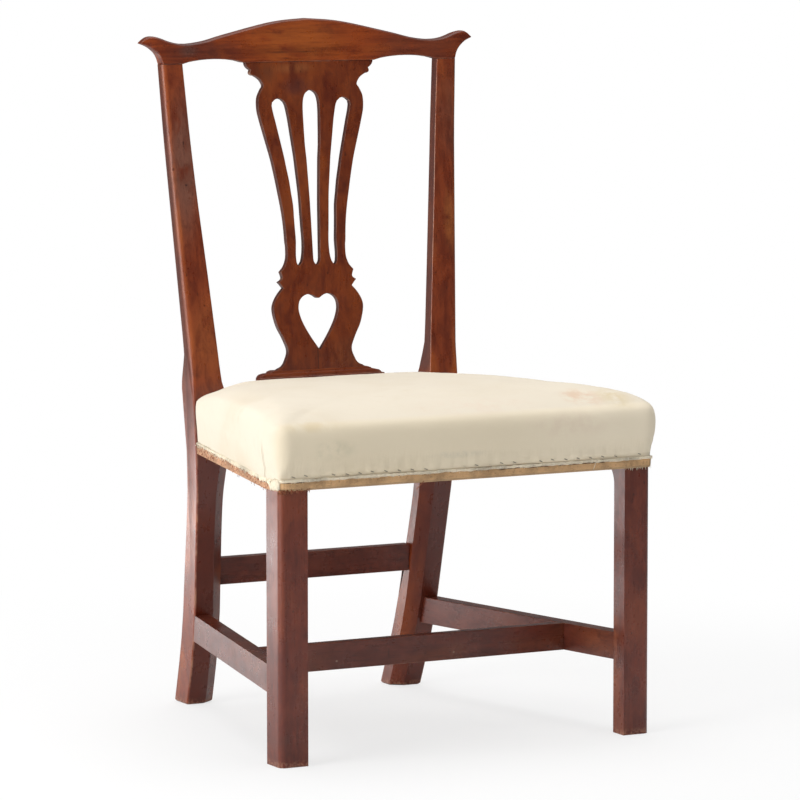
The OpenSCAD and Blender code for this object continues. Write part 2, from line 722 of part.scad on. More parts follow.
// Corner blocks inside the seat frame
module front_block() {
    inner = rail_x(block_front_y) - rail_across;
    color("burlywood") translate([0, 0, rail_top - block_h]) linear_extrude(block_h) polygon([
        [front_in, rail_t], [front_in, leg_size], [front_half - rail_across, leg_size],
        [inner, block_front_y], [front_in - post_seat_w, rail_t]]);
}
module rear_block() {
    y = seat_d - post_seat_w;
    color("burlywood") translate([0, 0, rail_top - block_h]) linear_extrude(block_h) polygon([
        [rail_x(y) - rail_across, y], [rail_rear_x - rail_across, seat_d], [seat_in, seat_d],
        [seat_in, rear_rail_y], [seat_in - post_seat_w, rear_rail_y]]);
}
module front_right_block() { chair() front_block(); }
module front_left_block() { chair() left_side() front_block(); }
module rear_right_block() { chair() rear_block(); }
module rear_left_block() { chair() left_side() rear_block(); }

// Stretchers
function strut_x(y) =
    mix(front_half, post_out(side_mid), (y - leg_size) / (post_front(side_mid) - leg_size));
module side_stretcher() {
    far = post_front(side_bottom);
    color("saddlebrown") difference() {
        union() {
            intersection() {
                translate([0, 0, side_bottom]) linear_extrude(stretcher_h) polygon([
                    [strut_x(leg_size), leg_size], [strut_x(far), far],
                    [strut_x(far) - strut_across, far],
                    [strut_x(leg_size) - strut_across, leg_size]]);
                rotate([90, 0, 90]) linear_extrude(front_w) polygon([
                    [leg_size, side_bottom], [far, side_bottom],
                    [post_front(stretcher_top), stretcher_top], [leg_size, stretcher_top]]);
            }
            side_stretcher_tenons();
        }
        medial_tenon_box(fit);
    }
}
module right_side_stretcher() { chair() side_stretcher(); }
module left_side_stretcher() { chair() left_side() side_stretcher(); }
module medial_stretcher() {
    y1 = medial_y + medial_t;
    half = [[strut_x(medial_y) - strut_across, medial_y], [strut_x(y1) - strut_across, y1]];
    color("saddlebrown") chair() {
        translate([0, 0, side_bottom]) linear_extrude(stretcher_h)
            polygon(concat(half, mirrored(half)));
        both_sides() medial_tenon_box();
    }
}
module rear_stretcher() {
    y0 = rear_stretcher_y;
    half = [[post_in(rear_bottom), rear_bottom], [post_in(rear_stretcher_top), rear_stretcher_top]];
    color("saddlebrown") chair() {
        translate([0, y0 + rear_stretcher_t, 0]) rotate([90, 0, 0])
            linear_extrude(rear_stretcher_t) polygon(concat(half, mirrored(half)));
        both_sides() rear_stretcher_tenon();
    }
}

// Crest. The way along an ear is nought where it leaves the post and one at its tip
function ear_way(x) = (abs(x) - post_top_out + ear_set) / (ear_l + ear_set);
function crest_top(x) = stile_top + crest_h * curve(crest_top_shares, abs(x) / crest_half);
function crest_under(x) =
    let (
        a = abs(x),
        arch = (a - splat_half) / (post_top_in - splat_half),
        ear = ear_way(x))
    stile_top + (
        ear > 0 ? crest_h * curve(ear_under_shares, ear) :
        arch > 0 && arch < 1 ? crest_arch * pow(sin(180 * arch), arch_power) : 0);
function crest_front(x) =
    let (a = abs(x), ear = ear_way(x))
    crest_face + (
        a < post_top_in ? crest_bow * (1 - pow(a / post_top_in, 2)) :
        ear > 0 ? ear_sweep * ear * ear : 0);
// Section of the crest, turning left seen from +X
function crest_ring(x) =
    let (
        z0 = crest_under(x),
        h = crest_top(x) - z0,
        ear = max(ear_way(x), 0),
        back = crest_t - ear_thinning * ear,
        ru = min(mix(crest_under_round, ear_under_round, min(ear / ear_round_share, 1)), h / 4),
        rf = min(crest_front_round, h / 3),
        rb = min(crest_back_round, h / 3),
        plan = concat(
            quarter([ru, ru], ru, 180, 2), quarter([back - ru, ru], ru, 270, 2),
            quarter([back - rb, h - rb], rb, 0), quarter([rf, h - rf], rf, 90)))
    [for (p = plan)
        [x, crest_front(x) + p.x + crest_lean_share * (z0 + p.y - stile_top), z0 + p.y]];
// Places of the sections from the middle out, with one at each joint
function steps_to(a, b, count) = [for (i = [1:count]) mix(a, b, i / count)];
crest_half_places = concat(
    steps_to(0, splat_half, round(crest_stations / 3)),
    steps_to(splat_half, post_top_in, round(crest_stations / 3)),
    steps_to(post_top_in, post_top_out - ear_set, round(crest_stations / 6)),
    steps_to(post_top_out - ear_set, crest_half, ear_stations));
crest_places = concat([for (x = reversed(crest_half_places)) -x], [0], crest_half_places);
module crest_rail() {
    color("saddlebrown") chair() difference() {
        loft([for (x = crest_places) crest_ring(x)]);
        both_sides() post_tenon(fit);
        splat_tongues(fit);
    }
}

// Splat: points are shares of its half width and of its length between the shoe and the crest
function splat_point(p) = [p.x * splat_half, p.y * splat_l];
function splat_points(stretches) = [
    for (stretch = stretches, p = spline(stretch)) splat_point(p)
];
module on_splat() {
    translate([0, splat_foot_y, shoe_top]) rotate([90 - splat_lean, 0, 0])
        translate([0, 0, -splat_t]) children();
}
module splat_tongues(gap = 0) {
    far = gap * end_gap / fit;
    head = splat_half * head_tongue_share + gap;
    foot = splat_half * foot_tongue_share + gap;
    z0 = (splat_t - tongue_t) / 2 - gap;
    z1 = (splat_t + tongue_t) / 2 + gap;
    on_splat() {
        block([-head, splat_l - tongue_l, z0], [head, splat_l + tongue_l + far, z1]);
        block([-foot, -tongue_l - far, z0], [foot, tongue_l, z1]);
    }
}
module splat_outline() {
    half = concat(splat_points(splat_edge_shares), [splat_point(last(last(splat_edge_shares)))]);
    polygon(concat(half, mirrored(half)));
}
module slot_outline(rows) {
    edge = concat(
        [for (r = rows) [r[1], r[0]]],
        [for (r = reversed([for (i = [1:len(rows) - 2]) rows[i]])) [r[2], r[0]]]);
    closed = concat([last(edge)], edge, [edge[0], edge[1]]);
    polygon([
        for (i = [1:len(edge)], k = [0:1])
            splat_point(hermite(closed[i], closed[i + 1], (closed[i + 1] - closed[i - 1]) / 2,
                                (closed[i + 2] - closed[i]) / 2, k / 2))
    ]);
}
module splat() {
    color("sienna") chair() {
        intersection() {
            on_splat() linear_extrude(splat_t) difference() {
                splat_outline();
                both_sides() slot_outline(outer_slot_shares);
                slot_outline([for (r = middle_slot_shares) [r[0], r[1], -r[1]]]);
                heart = splat_points(heart_shares);
                polygon(concat(heart, mirrored([for (i = [1:len(heart) - 1]) heart[i]])));
            }
            block([-splat_w, 0, shoe_top], [splat_w, seat_d + foot_rake + splat_w, stile_top]);
        }
        splat_tongues();
    }
}

// Shoe: the same moulding along the front and round both ends, with a socket for the splat
module shoe() {
    half_w = shoe_w / 2;
    ends = [for (s = shoe_shares) [half_w - s[0] * shoe_end_inset, rail_top + s[1] * shoe_h]];
    front = [for (s = shoe_shares) [shoe_y + s[0] * shoe_front_inset, rail_top + s[1] * shoe_h]];
    back = shoe_y + shoe_d;
    color("sienna") chair() difference() {
        intersection() {
            translate([0, back, 0]) rotate([90, 0, 0]) linear_extrude(shoe_d)
                polygon(concat(ends, mirrored(ends)));
            translate([-half_w, 0, 0]) rotate([90, 0, 90]) linear_extrude(shoe_w)
                polygon(concat([[back, rail_top]], front, [[back, shoe_top]]));
            translate([0, 0, rail_top]) linear_extrude(shoe_h) polygon([
                [-half_w, shoe_y], [half_w, shoe_y],
                [half_w - shoe_end_taper, back], [shoe_end_taper - half_w, back]]);
        }
        splat_tongues(fit);
        both_sides() shoe_nail(fit);
    }
}
// Headless nail, set from the shoe into the rear rail beside the splat's tongue
module shoe_nail(gap = 0) {
    x = (splat_half * foot_tongue_share + shoe_w / 2) / 2;
    translate([x, shoe_y + shoe_d / 2, rail_top + shoe_h / 2 - nail_l])
        cylinder(d = nail_d + 2 * gap, h = nail_l, $fn = 24);
}
module shoe_nails() { color("dimgray") chair() both_sides() shoe_nail(); }
module rail_pegs() { color("peru") chair() both_sides() pegs(); }

// Cloth and stuffing over the webbing
module sackcloth() {
    color("tan") chair() translate([0, 0, web_top]) linear_extrude(sackcloth_t)
        frame_plan(-sackcloth_inset, strap_rear);
}
module stuffing_pad() {
    color("wheat") chair() translate([0, 0, pad_bottom]) linear_extrude(pad_top - pad_bottom)
        frame_plan(-pad_inset, seat_d - pad_inset / 2);
}

// Bare strips along the lower edge of the rails, mitred on the round corners of the legs
module band(points) {
    color("tan") difference() {
        translate([0, 0, rail_bottom]) linear_extrude(band_h) polygon(points);
        cover_tack_set(fit);
    }
}
half_turn = corner_steps / 2;
function corner_part(out, from, to) =
    let (arc = frame_corner(out)) [for (i = [from:to]) arc[i]];
module front_edge_band() {
    inner = corner_part(0, 0, half_turn);
    outer = corner_part(band_t, 0, half_turn);
    chair() band(concat(outer, reversed(inner), reversed(mirrored(inner)), mirrored(outer)));
}
module side_edge_band() {
    y = seat_d - cloth_gap;
    inner = concat(corner_part(0, half_turn, corner_steps), frame_side(0, y));
    outer = concat(corner_part(band_t, half_turn, corner_steps), frame_side(band_t, y));
    band(concat(outer, reversed(inner)));
}
module right_edge_band() { chair() side_edge_band(); }
module left_edge_band() { chair() left_side() side_edge_band(); }
module cover_tacks() { color("dimgray") chair() cover_tack_set(); }

// Seat cover. Each edge point holds its place, its outward direction, bulge, roll and drop
cover_edge_half = concat(
    [for (i = [0:cover_front_points - 1])
        [[(front_half - leg_round) * i / cover_front_points, 0], [0, -1], cover_bulge, front_roll, 0]],
    [for (k = [0:corner_steps])
        let (a = -90 + 90 * k / corner_steps)
        [[front_half - leg_round, leg_round] + leg_round * [cos(a), sin(a)],
         [cos(a), sin(a)], cover_bulge, front_roll, 0]],
    [for (i = [0:cover_side_points])
        let (s = i / cover_side_points, y = mix(leg_size, seat_d - cloth_gap, s))
        [[rail_x(y), y], [cos(side_angle), sin(side_angle)],
         cover_bulge * mix(1, rear_bulge_share, s), mix(front_roll, rear_roll, s * s),
         corner_drop * pow(s, corner_power)]],
    [[[rail_x(cover_rear), cover_rear], [cos(side_angle), sin(side_angle)], 0, rear_roll,
      corner_drop]],
    [for (i = [1:cover_rear_points - 1])
        [[rail_x(cover_rear) * (1 - i / cover_rear_points), cover_rear],
         [0, 1], 0, rear_edge_roll,
         corner_drop * pow(1 - i / cover_rear_points, corner_power / 2)]]);
cover_edge = concat(
    cover_edge_half,
    [[[0, cover_rear], [0, 1], 0, rear_edge_roll, 0]],
    [for (e = reversed([for (i = [1:len(cover_edge_half) - 1]) cover_edge_half[i]]))
        [[-e[0].x, e[0].y], [-e[1].x, e[1].y], e[2], e[3], e[4]]]);
cover_middle = [0, (seat_d - cover_bulge) / 2];
// Ring of the cover: the rear edge has no bulge
function cover_ring(row) = [
    for (e = cover_edge)
        let (
            out = row[1] * (row[1] < 0 ? e[3] : e[2]),
            p = mix(e[0] + out * e[1], cover_middle, row[2]),
            edge = curve(cover_edge_shares, e[0].y / cover_rear),
            rise = mix(edge, 1, 1 - pow(1 - row[2], 3)),
            drop = len(row) > 3 ? row[3] * e[4] : 0)
        [p.x, p.y, cover_bottom + row[0] * cover_h * rise - drop]
];
// Closed dome through rings, with a point at the middle of its top and of its foot
module dome(rings, tip, foot) {
    n = len(rings[0]);
    m = len(rings);
    sides = [
        for (k = [0:m - 2], i = [0:n - 1])
            let (a = k * n + i, b = k * n + (i + 1) % n)
            each [[a, a + n, b + n], [a, b + n, b]]
    ];
    roof = [for (i = [0:n - 1]) [(m - 1) * n + i, m * n, (m - 1) * n + (i + 1) % n]];
    bottom = [for (i = [0:n - 1]) [i, (i + 1) % n, m * n + 1]];
    polyhedron(concat([for (ring = rings, p = ring) p], [tip, foot]),
               concat(bottom, sides, roof));
}
module seat_cover() {
    foot = [cover_middle.x, cover_middle.y, cover_bottom];
    color("cornsilk") chair() difference() {
        dome([for (row = cover_ring_shares) cover_ring(row)], foot + [0, 0, cover_h], foot);
        translate([0, 0, cover_bottom - over])
            linear_extrude(rail_top + cloth_gap - cover_bottom + over)
                frame_plan(cloth_gap, cover_rear + over);
        translate([0, 0, rail_top]) linear_extrude(sackcloth_top + cloth_gap - rail_top)
            frame_plan(-cover_wall, strap_rear + cloth_gap);
        translate([0, 0, rail_top]) linear_extrude(pad_top + cloth_gap - rail_top)
            frame_plan(cloth_gap - pad_inset, seat_d - pad_inset / 2 + cloth_gap);
        both_sides() block([seat_in - cloth_gap, seat_d - cloth_gap, 0],
                           [front_w, cover_rear + seat_d, stile_top]);
    }
}

crest_rail();
splat();
shoe();
left_back_post();
right_back_post();
front_left_leg();
front_right_leg();
front_seat_rail();
rear_seat_rail();
left_seat_rail();
right_seat_rail();
left_side_stretcher();
right_side_stretcher();
medial_stretcher();
rear_stretcher();
front_left_block();
front_right_block();
rear_left_block();
rear_right_block();
long_webbing(0);  // long_webbing_left
long_webbing(1);  // long_webbing_middle
long_webbing(2);  // long_webbing_right
cross_webbing(0);  // cross_webbing_front
cross_webbing(1);  // cross_webbing_middle
cross_webbing(2);  // cross_webbing_rear
webbing_tacks();
sackcloth();
stuffing_pad();
seat_cover();
front_edge_band();
left_edge_band();
right_edge_band();
cover_tacks();
shoe_nails();
rail_pegs();
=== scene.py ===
"""Looks of an old side chair: polished reddish wood, a pierced splat, and a seat that is
stuffed over its rails and still in its plain muslin, with a bare strip of webbing below it.
"""

import math
import random

import bmesh
import bpy
from bpy.props import FloatProperty, FloatVectorProperty, IntProperty, PointerProperty
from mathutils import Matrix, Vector, noise
from mathutils.bvhtree import BVHTree


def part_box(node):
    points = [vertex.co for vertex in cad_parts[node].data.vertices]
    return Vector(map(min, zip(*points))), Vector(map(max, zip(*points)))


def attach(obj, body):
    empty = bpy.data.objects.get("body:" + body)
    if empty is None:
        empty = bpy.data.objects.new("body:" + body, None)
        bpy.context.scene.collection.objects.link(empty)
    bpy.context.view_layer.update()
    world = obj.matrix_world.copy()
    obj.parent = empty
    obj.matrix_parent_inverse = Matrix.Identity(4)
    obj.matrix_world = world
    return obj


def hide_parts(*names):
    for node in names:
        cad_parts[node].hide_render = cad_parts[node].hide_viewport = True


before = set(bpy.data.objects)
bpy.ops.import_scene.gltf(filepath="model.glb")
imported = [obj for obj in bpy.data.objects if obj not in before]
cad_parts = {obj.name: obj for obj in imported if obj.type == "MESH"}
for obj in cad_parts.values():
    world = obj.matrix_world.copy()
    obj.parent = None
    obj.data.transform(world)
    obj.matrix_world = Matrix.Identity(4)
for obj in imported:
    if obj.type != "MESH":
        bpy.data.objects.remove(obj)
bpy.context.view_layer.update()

bl_info = {
    "name": "Old Side Chair",
    "version": (1, 0, 0),
    "blender": (4, 5, 0),
    "location": "View3D > Sidebar > Chair",
    "description": "Dresses the chair's frame in worn wood, muslin, webbing and threads",
    "category": "Object",
}

BODY = "root"
UP = Vector((0, 0, 1))
# Half of the front strip's straight run, and the radius on which the strips turn a corner
FRONT_HALF = 0.270
CORNER_RADIUS = 0.0115
# Points that lie this near to a strip's back end belong to it
STRIP_END = 0.004
# Width of the faces of the seat cover's skin
COVER_FACE = 0.0065

# Wooden pieces that show: the way the grain runs, and the name of the wood's tone
TIMBER = {
    "crest_rail": ("x", "crest"),
    "splat": ("z", "splat"),
    "shoe": ("x", "shoe"),
    "left_back_post": ("z", "post"),
    "right_back_post": ("z", "post"),
    "front_left_leg": ("z", "leg"),
    "front_right_leg": ("z", "leg"),
    "left_side_stretcher": ("y", "stretcher"),
    "right_side_stretcher": ("y", "stretcher"),
    "medial_stretcher": ("x", "stretcher"),
    "rear_stretcher": ("x", "stretcher"),
}
# Tones of the wood: dark of the grain, light of the grain, an orange that shows in patches and as
# painted light on the posts' rounded corners, and the share of the figure that runs in streaks
TONES = {
    "crest": ((0.130, 0.017, 0.004), (0.300, 0.054, 0.008), (0.370, 0.078, 0.010), 0.85),
    "splat": ((0.105, 0.015, 0.004), (0.200, 0.038, 0.007), (0.270, 0.058, 0.009), 0.35),
    "shoe": ((0.110, 0.017, 0.006), (0.220, 0.044, 0.010), (0.270, 0.062, 0.013), 0.6),
    "post": ((0.125, 0.019, 0.006), (0.240, 0.045, 0.012), (0.400, 0.098, 0.020), 0.5),
    "leg": ((0.096, 0.015, 0.007), (0.170, 0.032, 0.014), (0.215, 0.046, 0.016), 0.5),
    "stretcher": ((0.084, 0.016, 0.009), (0.160, 0.035, 0.019), (0.190, 0.048, 0.019), 0.5),
}
# Marks in the wood: middle, reach along each axis, colour and strength
MARKS = {
    "crest_rail": (
        ((-0.170, 0.20, 0.915), (0.085, 0.1, 0.060), (0.130, 0.028, 0.015), 0.80),
        ((-0.190, 0.20, 0.918), (0.022, 0.1, 0.012), (0.120, 0.065, 0.052), 0.50),
        ((0.170, 0.20, 0.915), (0.100, 0.1, 0.060), (0.150, 0.034, 0.016), 0.70),
        ((-0.020, 0.20, 0.928), (0.110, 0.1, 0.045), (0.370, 0.092, 0.014), 0.60),
        ((-0.030, 0.20, 0.9135), (0.060, 0.1, 0.0022), (0.060, 0.013, 0.006), 0.70),
    ),
    "splat": (
        ((-0.075, 0.19, 0.885), (0.030, 0.1, 0.022), (0.110, 0.038, 0.018), 0.60),
        ((-0.025, 0.19, 0.891), (0.045, 0.1, 0.010), (0.300, 0.095, 0.028), 0.60),
        ((-0.022, 0.19, 0.866), (0.032, 0.1, 0.018), (0.085, 0.022, 0.019), 0.60),
        ((0.050, 0.17, 0.490), (0.050, 0.1, 0.030), (0.220, 0.060, 0.018), 0.50),
        ((0.000, 0.18, 0.570), (0.060, 0.1, 0.030), (0.250, 0.050, 0.012), 0.45),
    ),
    "left_back_post": (
        # The first mark greys the left post's front above the seat: a painted reflection
        ((-0.203, 0.19, 0.760), (0.030, 0.1, 0.140), (0.175, 0.080, 0.056), 0.75),
        ((-0.178, 0.18, 0.520), (0.045, 0.1, 0.090), (0.330, 0.088, 0.024), 0.60),
        ((-0.201, 0.19, 0.734), (0.0024, 0.1, 0.0024), (0.020, 0.008, 0.006), 0.90),
        ((-0.202, 0.19, 0.792), (0.0018, 0.1, 0.0040), (0.020, 0.008, 0.006), 0.70),
    ),
    "right_back_post": (
        ((0.207, 0.19, 0.668), (0.013, 0.1, 0.062), (0.380, 0.115, 0.028), 0.65),
        ((0.216, 0.19, 0.820), (0.030, 0.1, 0.080), (0.190, 0.064, 0.036), 0.50),
    ),
    "front_left_leg": (
        ((-0.270, -0.242, 0.034), (0.013, 0.03, 0.022), (0.050, 0.018, 0.014), 0.80),
        ((-0.250, -0.248, 0.260), (0.014, 0.03, 0.090), (0.165, 0.036, 0.018), 0.50),
    ),
    "front_right_leg": (
        ((0.242, -0.232, 0.110), (0.010, 0.03, 0.110), (0.330, 0.090, 0.032), 0.75),
    ),
    "right_side_stretcher": (
        ((0.250, -0.180, 0.115), (0.030, 0.06, 0.030), (0.280, 0.076, 0.028), 0.60),
    ),
    "medial_stretcher": (
        ((-0.119, -0.096, 0.107), (0.0025, 0.03, 0.0020), (0.550, 0.400, 0.300), 0.80),
        ((0.060, -0.096, 0.1055), (0.0025, 0.03, 0.0020), (0.550, 0.400, 0.300), 0.60),
        ((-0.040, -0.096, 0.112), (0.0020, 0.03, 0.0100), (0.030, 0.010, 0.008), 0.60),
    ),
}
# Softwood and hardwood parts inside the seat, with the way their grain runs
HIDDEN_TIMBER = {
    "front_seat_rail": "x",
    "rear_seat_rail": "x",
    "left_seat_rail": "y",
    "right_seat_rail": "y",
    "front_left_block": "z",
    "front_right_block": "z",
    "rear_left_block": "z",
    "rear_right_block": "z",
    "rail_pegs": "y",
}
# Weak reflection of dull cloth
DULL = {"Specular IOR Level": 0.25}
STRAPS = [f"long_webbing_{place}" for place in ("left", "middle", "right")]
STRAPS += [f"cross_webbing_{place}" for place in ("front", "middle", "rear")]
# The muslin in the cloth simulation, and how long the stuffing presses on it
CLOTH = {
    "quality": 6,
    "mass": 0.25,
    "tension_stiffness": 25,
    "compression_stiffness": 25,
    "shear_stiffness": 12,
    "bending_stiffness": 0.6,
    "vertex_group_mass": "held",
    "use_pressure": True,
}
CLOTH_FRAMES = 20
# Lamps: name, place, width, height, power, and the point that each is turned to
LAMPS = (
    ("Window", (-3.0, -0.7, 1.3), 1.8, 2.2, 72, (0, 0, 0.45)),
    ("Ceiling", (0.2, 0.2, 3.0), 2.4, 2.4, 61, (0, 0, 0.45)),
    ("Low sheet", (-0.85, 1.05, 0.09), 1.4, 0.18, 3.4, (0, 0, 0.10)),
)
CAMERA_PLACE = (-3.0015, -5.8314, 1.1853)
CAMERA_ROLL = math.radians(0.03)
CAMERA_SHIFT = -0.0143


class TimberSettings(bpy.types.PropertyGroup):
    edge: FloatProperty(
        name="Worn edge",
        description="Width of the rounding along the sharp edges of the wood",
        default=0.0008, min=0.0002, max=0.002, unit="LENGTH",
    )
    sharp: FloatProperty(
        name="Sharp from",
        description="Angle from which an edge of the wood counts as sharp",
        default=math.radians(33), subtype="ANGLE",
    )
    # Also the colour of the painted highlight along the sharp edges
    worn_and_highlight: FloatVectorProperty(
        name="Worn colour",
        description="Colour of the wood where the polish has gone from its edges",
        default=(0.40, 0.20, 0.12), subtype="COLOR",
    )
    gloss: FloatProperty(
        name="Roughness",
        description="Mean roughness of the old polish",
        default=0.30, min=0.05, max=1.0, subtype="FACTOR",
    )


class SeatSettings(bpy.types.PropertyGroup):
    cloth: FloatVectorProperty(
        name="Muslin",
        description="Colour of the clean muslin",
        default=(0.755, 0.678, 0.552), subtype="COLOR",
    )
    front: FloatVectorProperty(
        name="Front muslin",
        description="Colour of the muslin on the front of the seat, which has yellowed",
        default=(0.82, 0.715, 0.53), subtype="COLOR",
    )
    # Also the colour of the painted shadow beside each front corner's pleat
    stain_and_shadow: FloatVectorProperty(
        name="Stain",
        description="Colour of the old stains in the muslin",
        default=(0.56, 0.43, 0.25), subtype="COLOR",
    )
    thread: FloatProperty(
        name="Thread spacing",
        description="Distance between two threads of the muslin",
        default=0.0008, unit="LENGTH",
    )
    swell: FloatProperty(
        name="Swell",
        description="Farthest that the stuffing may push the muslin out",
        default=0.002, unit="LENGTH",
    )
    pressure: FloatProperty(
        name="Pressure",
        description="Pressure of the stuffing in the cloth simulation",
        default=4.0,
    )


class TrimSettings(bpy.types.PropertyGroup):
    webbing: FloatVectorProperty(
        name="Edge webbing",
        description="Colour of the webbing strip below the front of the muslin",
        default=(0.70, 0.44, 0.23), subtype="COLOR",
    )
    old_webbing: FloatVectorProperty(
        name="Side webbing",
        description="Colour of the rougher strip along the sides",
        default=(0.57, 0.32, 0.19), subtype="COLOR",
    )
    pitch: FloatProperty(
        name="Tack spacing",
        description="Distance between two tacks along the front of the seat",
        default=FRONT_HALF / 14, unit="LENGTH",
    )
    threads: IntProperty(
        name="Loose threads",
        description="Number of loose threads along the front, and along each side",
        default=90, min=0, max=300,
    )


class StageSettings(bpy.types.PropertyGroup):
    lens: FloatProperty(
        name="Focal length",
        description="Focal length of the camera in millimetres",
        default=216.7,
    )
    turn: FloatProperty(
        name="Camera turn",
        description="Heading of the camera to the right of the chair's own depth",
        default=math.radians(27.49), subtype="ANGLE",
    )
    tilt: FloatProperty(
        name="Camera tilt",
        description="Angle by which the camera looks down",
        default=math.radians(6.31), subtype="ANGLE",
    )


class Term:
    """One socket of a shader, used like a number."""

    def __init__(self, recipe, socket):
        self.recipe = recipe
        self.socket = socket

    def __add__(self, other):
        return self.recipe.maths("ADD", self, other)

    def __sub__(self, other):
        return self.recipe.maths("SUBTRACT", self, other)

    def __mul__(self, other):
        return self.recipe.maths("MULTIPLY", self, other)

    def __radd__(self, other):
        return self.recipe.maths("ADD", other, self)

    def __rsub__(self, other):
        return self.recipe.maths("SUBTRACT", other, self)

    def __rmul__(self, other):
        return self.recipe.maths("MULTIPLY", other, self)

    def __abs__(self):
        return self.recipe.maths("ABSOLUTE", self)


class Recipe:
    """One material, written as nodes that feed its Principled shader."""

    def __init__(self, name):
        self.material = bpy.data.materials.new(name)
        self.material.use_nodes = True
        self.tree = self.material.node_tree
        self.tree.nodes.clear()
        self.shader = self.tree.nodes.new("ShaderNodeBsdfPrincipled")
        self.output = self.tree.nodes.new("ShaderNodeOutputMaterial")
        self.tree.links.new(self.shader.outputs[0], self.output.inputs[0])

    def feed(self, socket, value):
        if isinstance(value, Term):
            self.tree.links.new(value.socket, socket)
        else:
            socket.default_value = value

    def node(self, kind, settings=None, inputs=None, output=0):
        """A node of a kind, with its settings made before its sockets are fed."""
        made = self.tree.nodes.new(kind)
        for key, value in (settings or {}).items():
            setattr(made, key, value)
        for key, value in (inputs or {}).items():
            self.feed(made.inputs[key], value)
        return Term(self, made.outputs[output])

    def maths(self, operation, *values):
        return self.node("ShaderNodeMath", {"operation": operation}, dict(enumerate(values)))

    def place(self):
        return self.node("ShaderNodeTexCoord", output="Object")

    def kept(self, name):
        """A number that the mesh keeps for each of its points."""
        return self.node("ShaderNodeAttribute", {"attribute_name": name}, {}, "Fac")

    def scaled(self, scale=(1, 1, 1), shift=(0, 0, 0)):
        """The place on the object, scaled along each axis and shifted."""
        inputs = {"Vector": self.place(), "Scale": scale, "Location": shift}
        return self.node("ShaderNodeMapping", {}, inputs)

    def axes(self, vector):
        split = self.node("ShaderNodeSeparateXYZ", {}, {0: vector}).socket.node
        return [Term(self, s) for s in split.outputs]

    def cloud(self, vector, scale, detail, roughness=0.5, distortion=0.0):
        inputs = {"Vector": vector, "Scale": scale, "Detail": detail}
        inputs |= {"Roughness": roughness, "Distortion": distortion}
        return self.node("ShaderNodeTexNoise", {}, inputs)

    def rise(self, value, low, high):
        """Nought below low, one above high, and smooth between them."""
        inputs = {"Value": value, "From Min": low, "From Max": high}
        return self.node("ShaderNodeMapRange", {"interpolation_type": "SMOOTHSTEP"}, inputs)

    def spot(self, centre, size, soft):
        """A patch round a point, one in its middle, with a size along each axis."""
        kind = "ShaderNodeVectorMath"
        away = self.node(kind, {"operation": "SUBTRACT"}, {0: self.place(), 1: centre})
        shares = self.node(kind, {"operation": "MULTIPLY"}, {0: away, 1: [1 / s for s in size]})
        far = self.node(kind, {"operation": "LENGTH"}, {0: shares}, "Value")
        return 1 - self.rise(far, 1 - soft, 1)

    def blend(self, share, first, second):
        """A colour between two."""

        def full(c):
            return c if isinstance(c, Term) else (*c, 1.0)

        inputs = {0: share, 6: full(first), 7: full(second)}
        return self.node("ShaderNodeMix", {"data_type": "RGBA"}, inputs, 2)

    def finish(self, colour, roughness, height=None, depth=0.0001, strength=1.0, **more):
        self.feed(self.shader.inputs["Base Color"], colour)
        self.feed(self.shader.inputs["Roughness"], roughness)
        for key, value in more.items():
            self.shader.inputs[key].default_value = value
        if height is not None:
            inputs = {"Height": height, "Distance": depth, "Strength": strength}
            self.feed(self.shader.inputs["Normal"], self.node("ShaderNodeBump", {}, inputs))
        return self.material


def along(axis, length, width):
    """Scale of a pattern that is stretched along one axis."""
    return [length if axis == a else width for a in "xyz"]


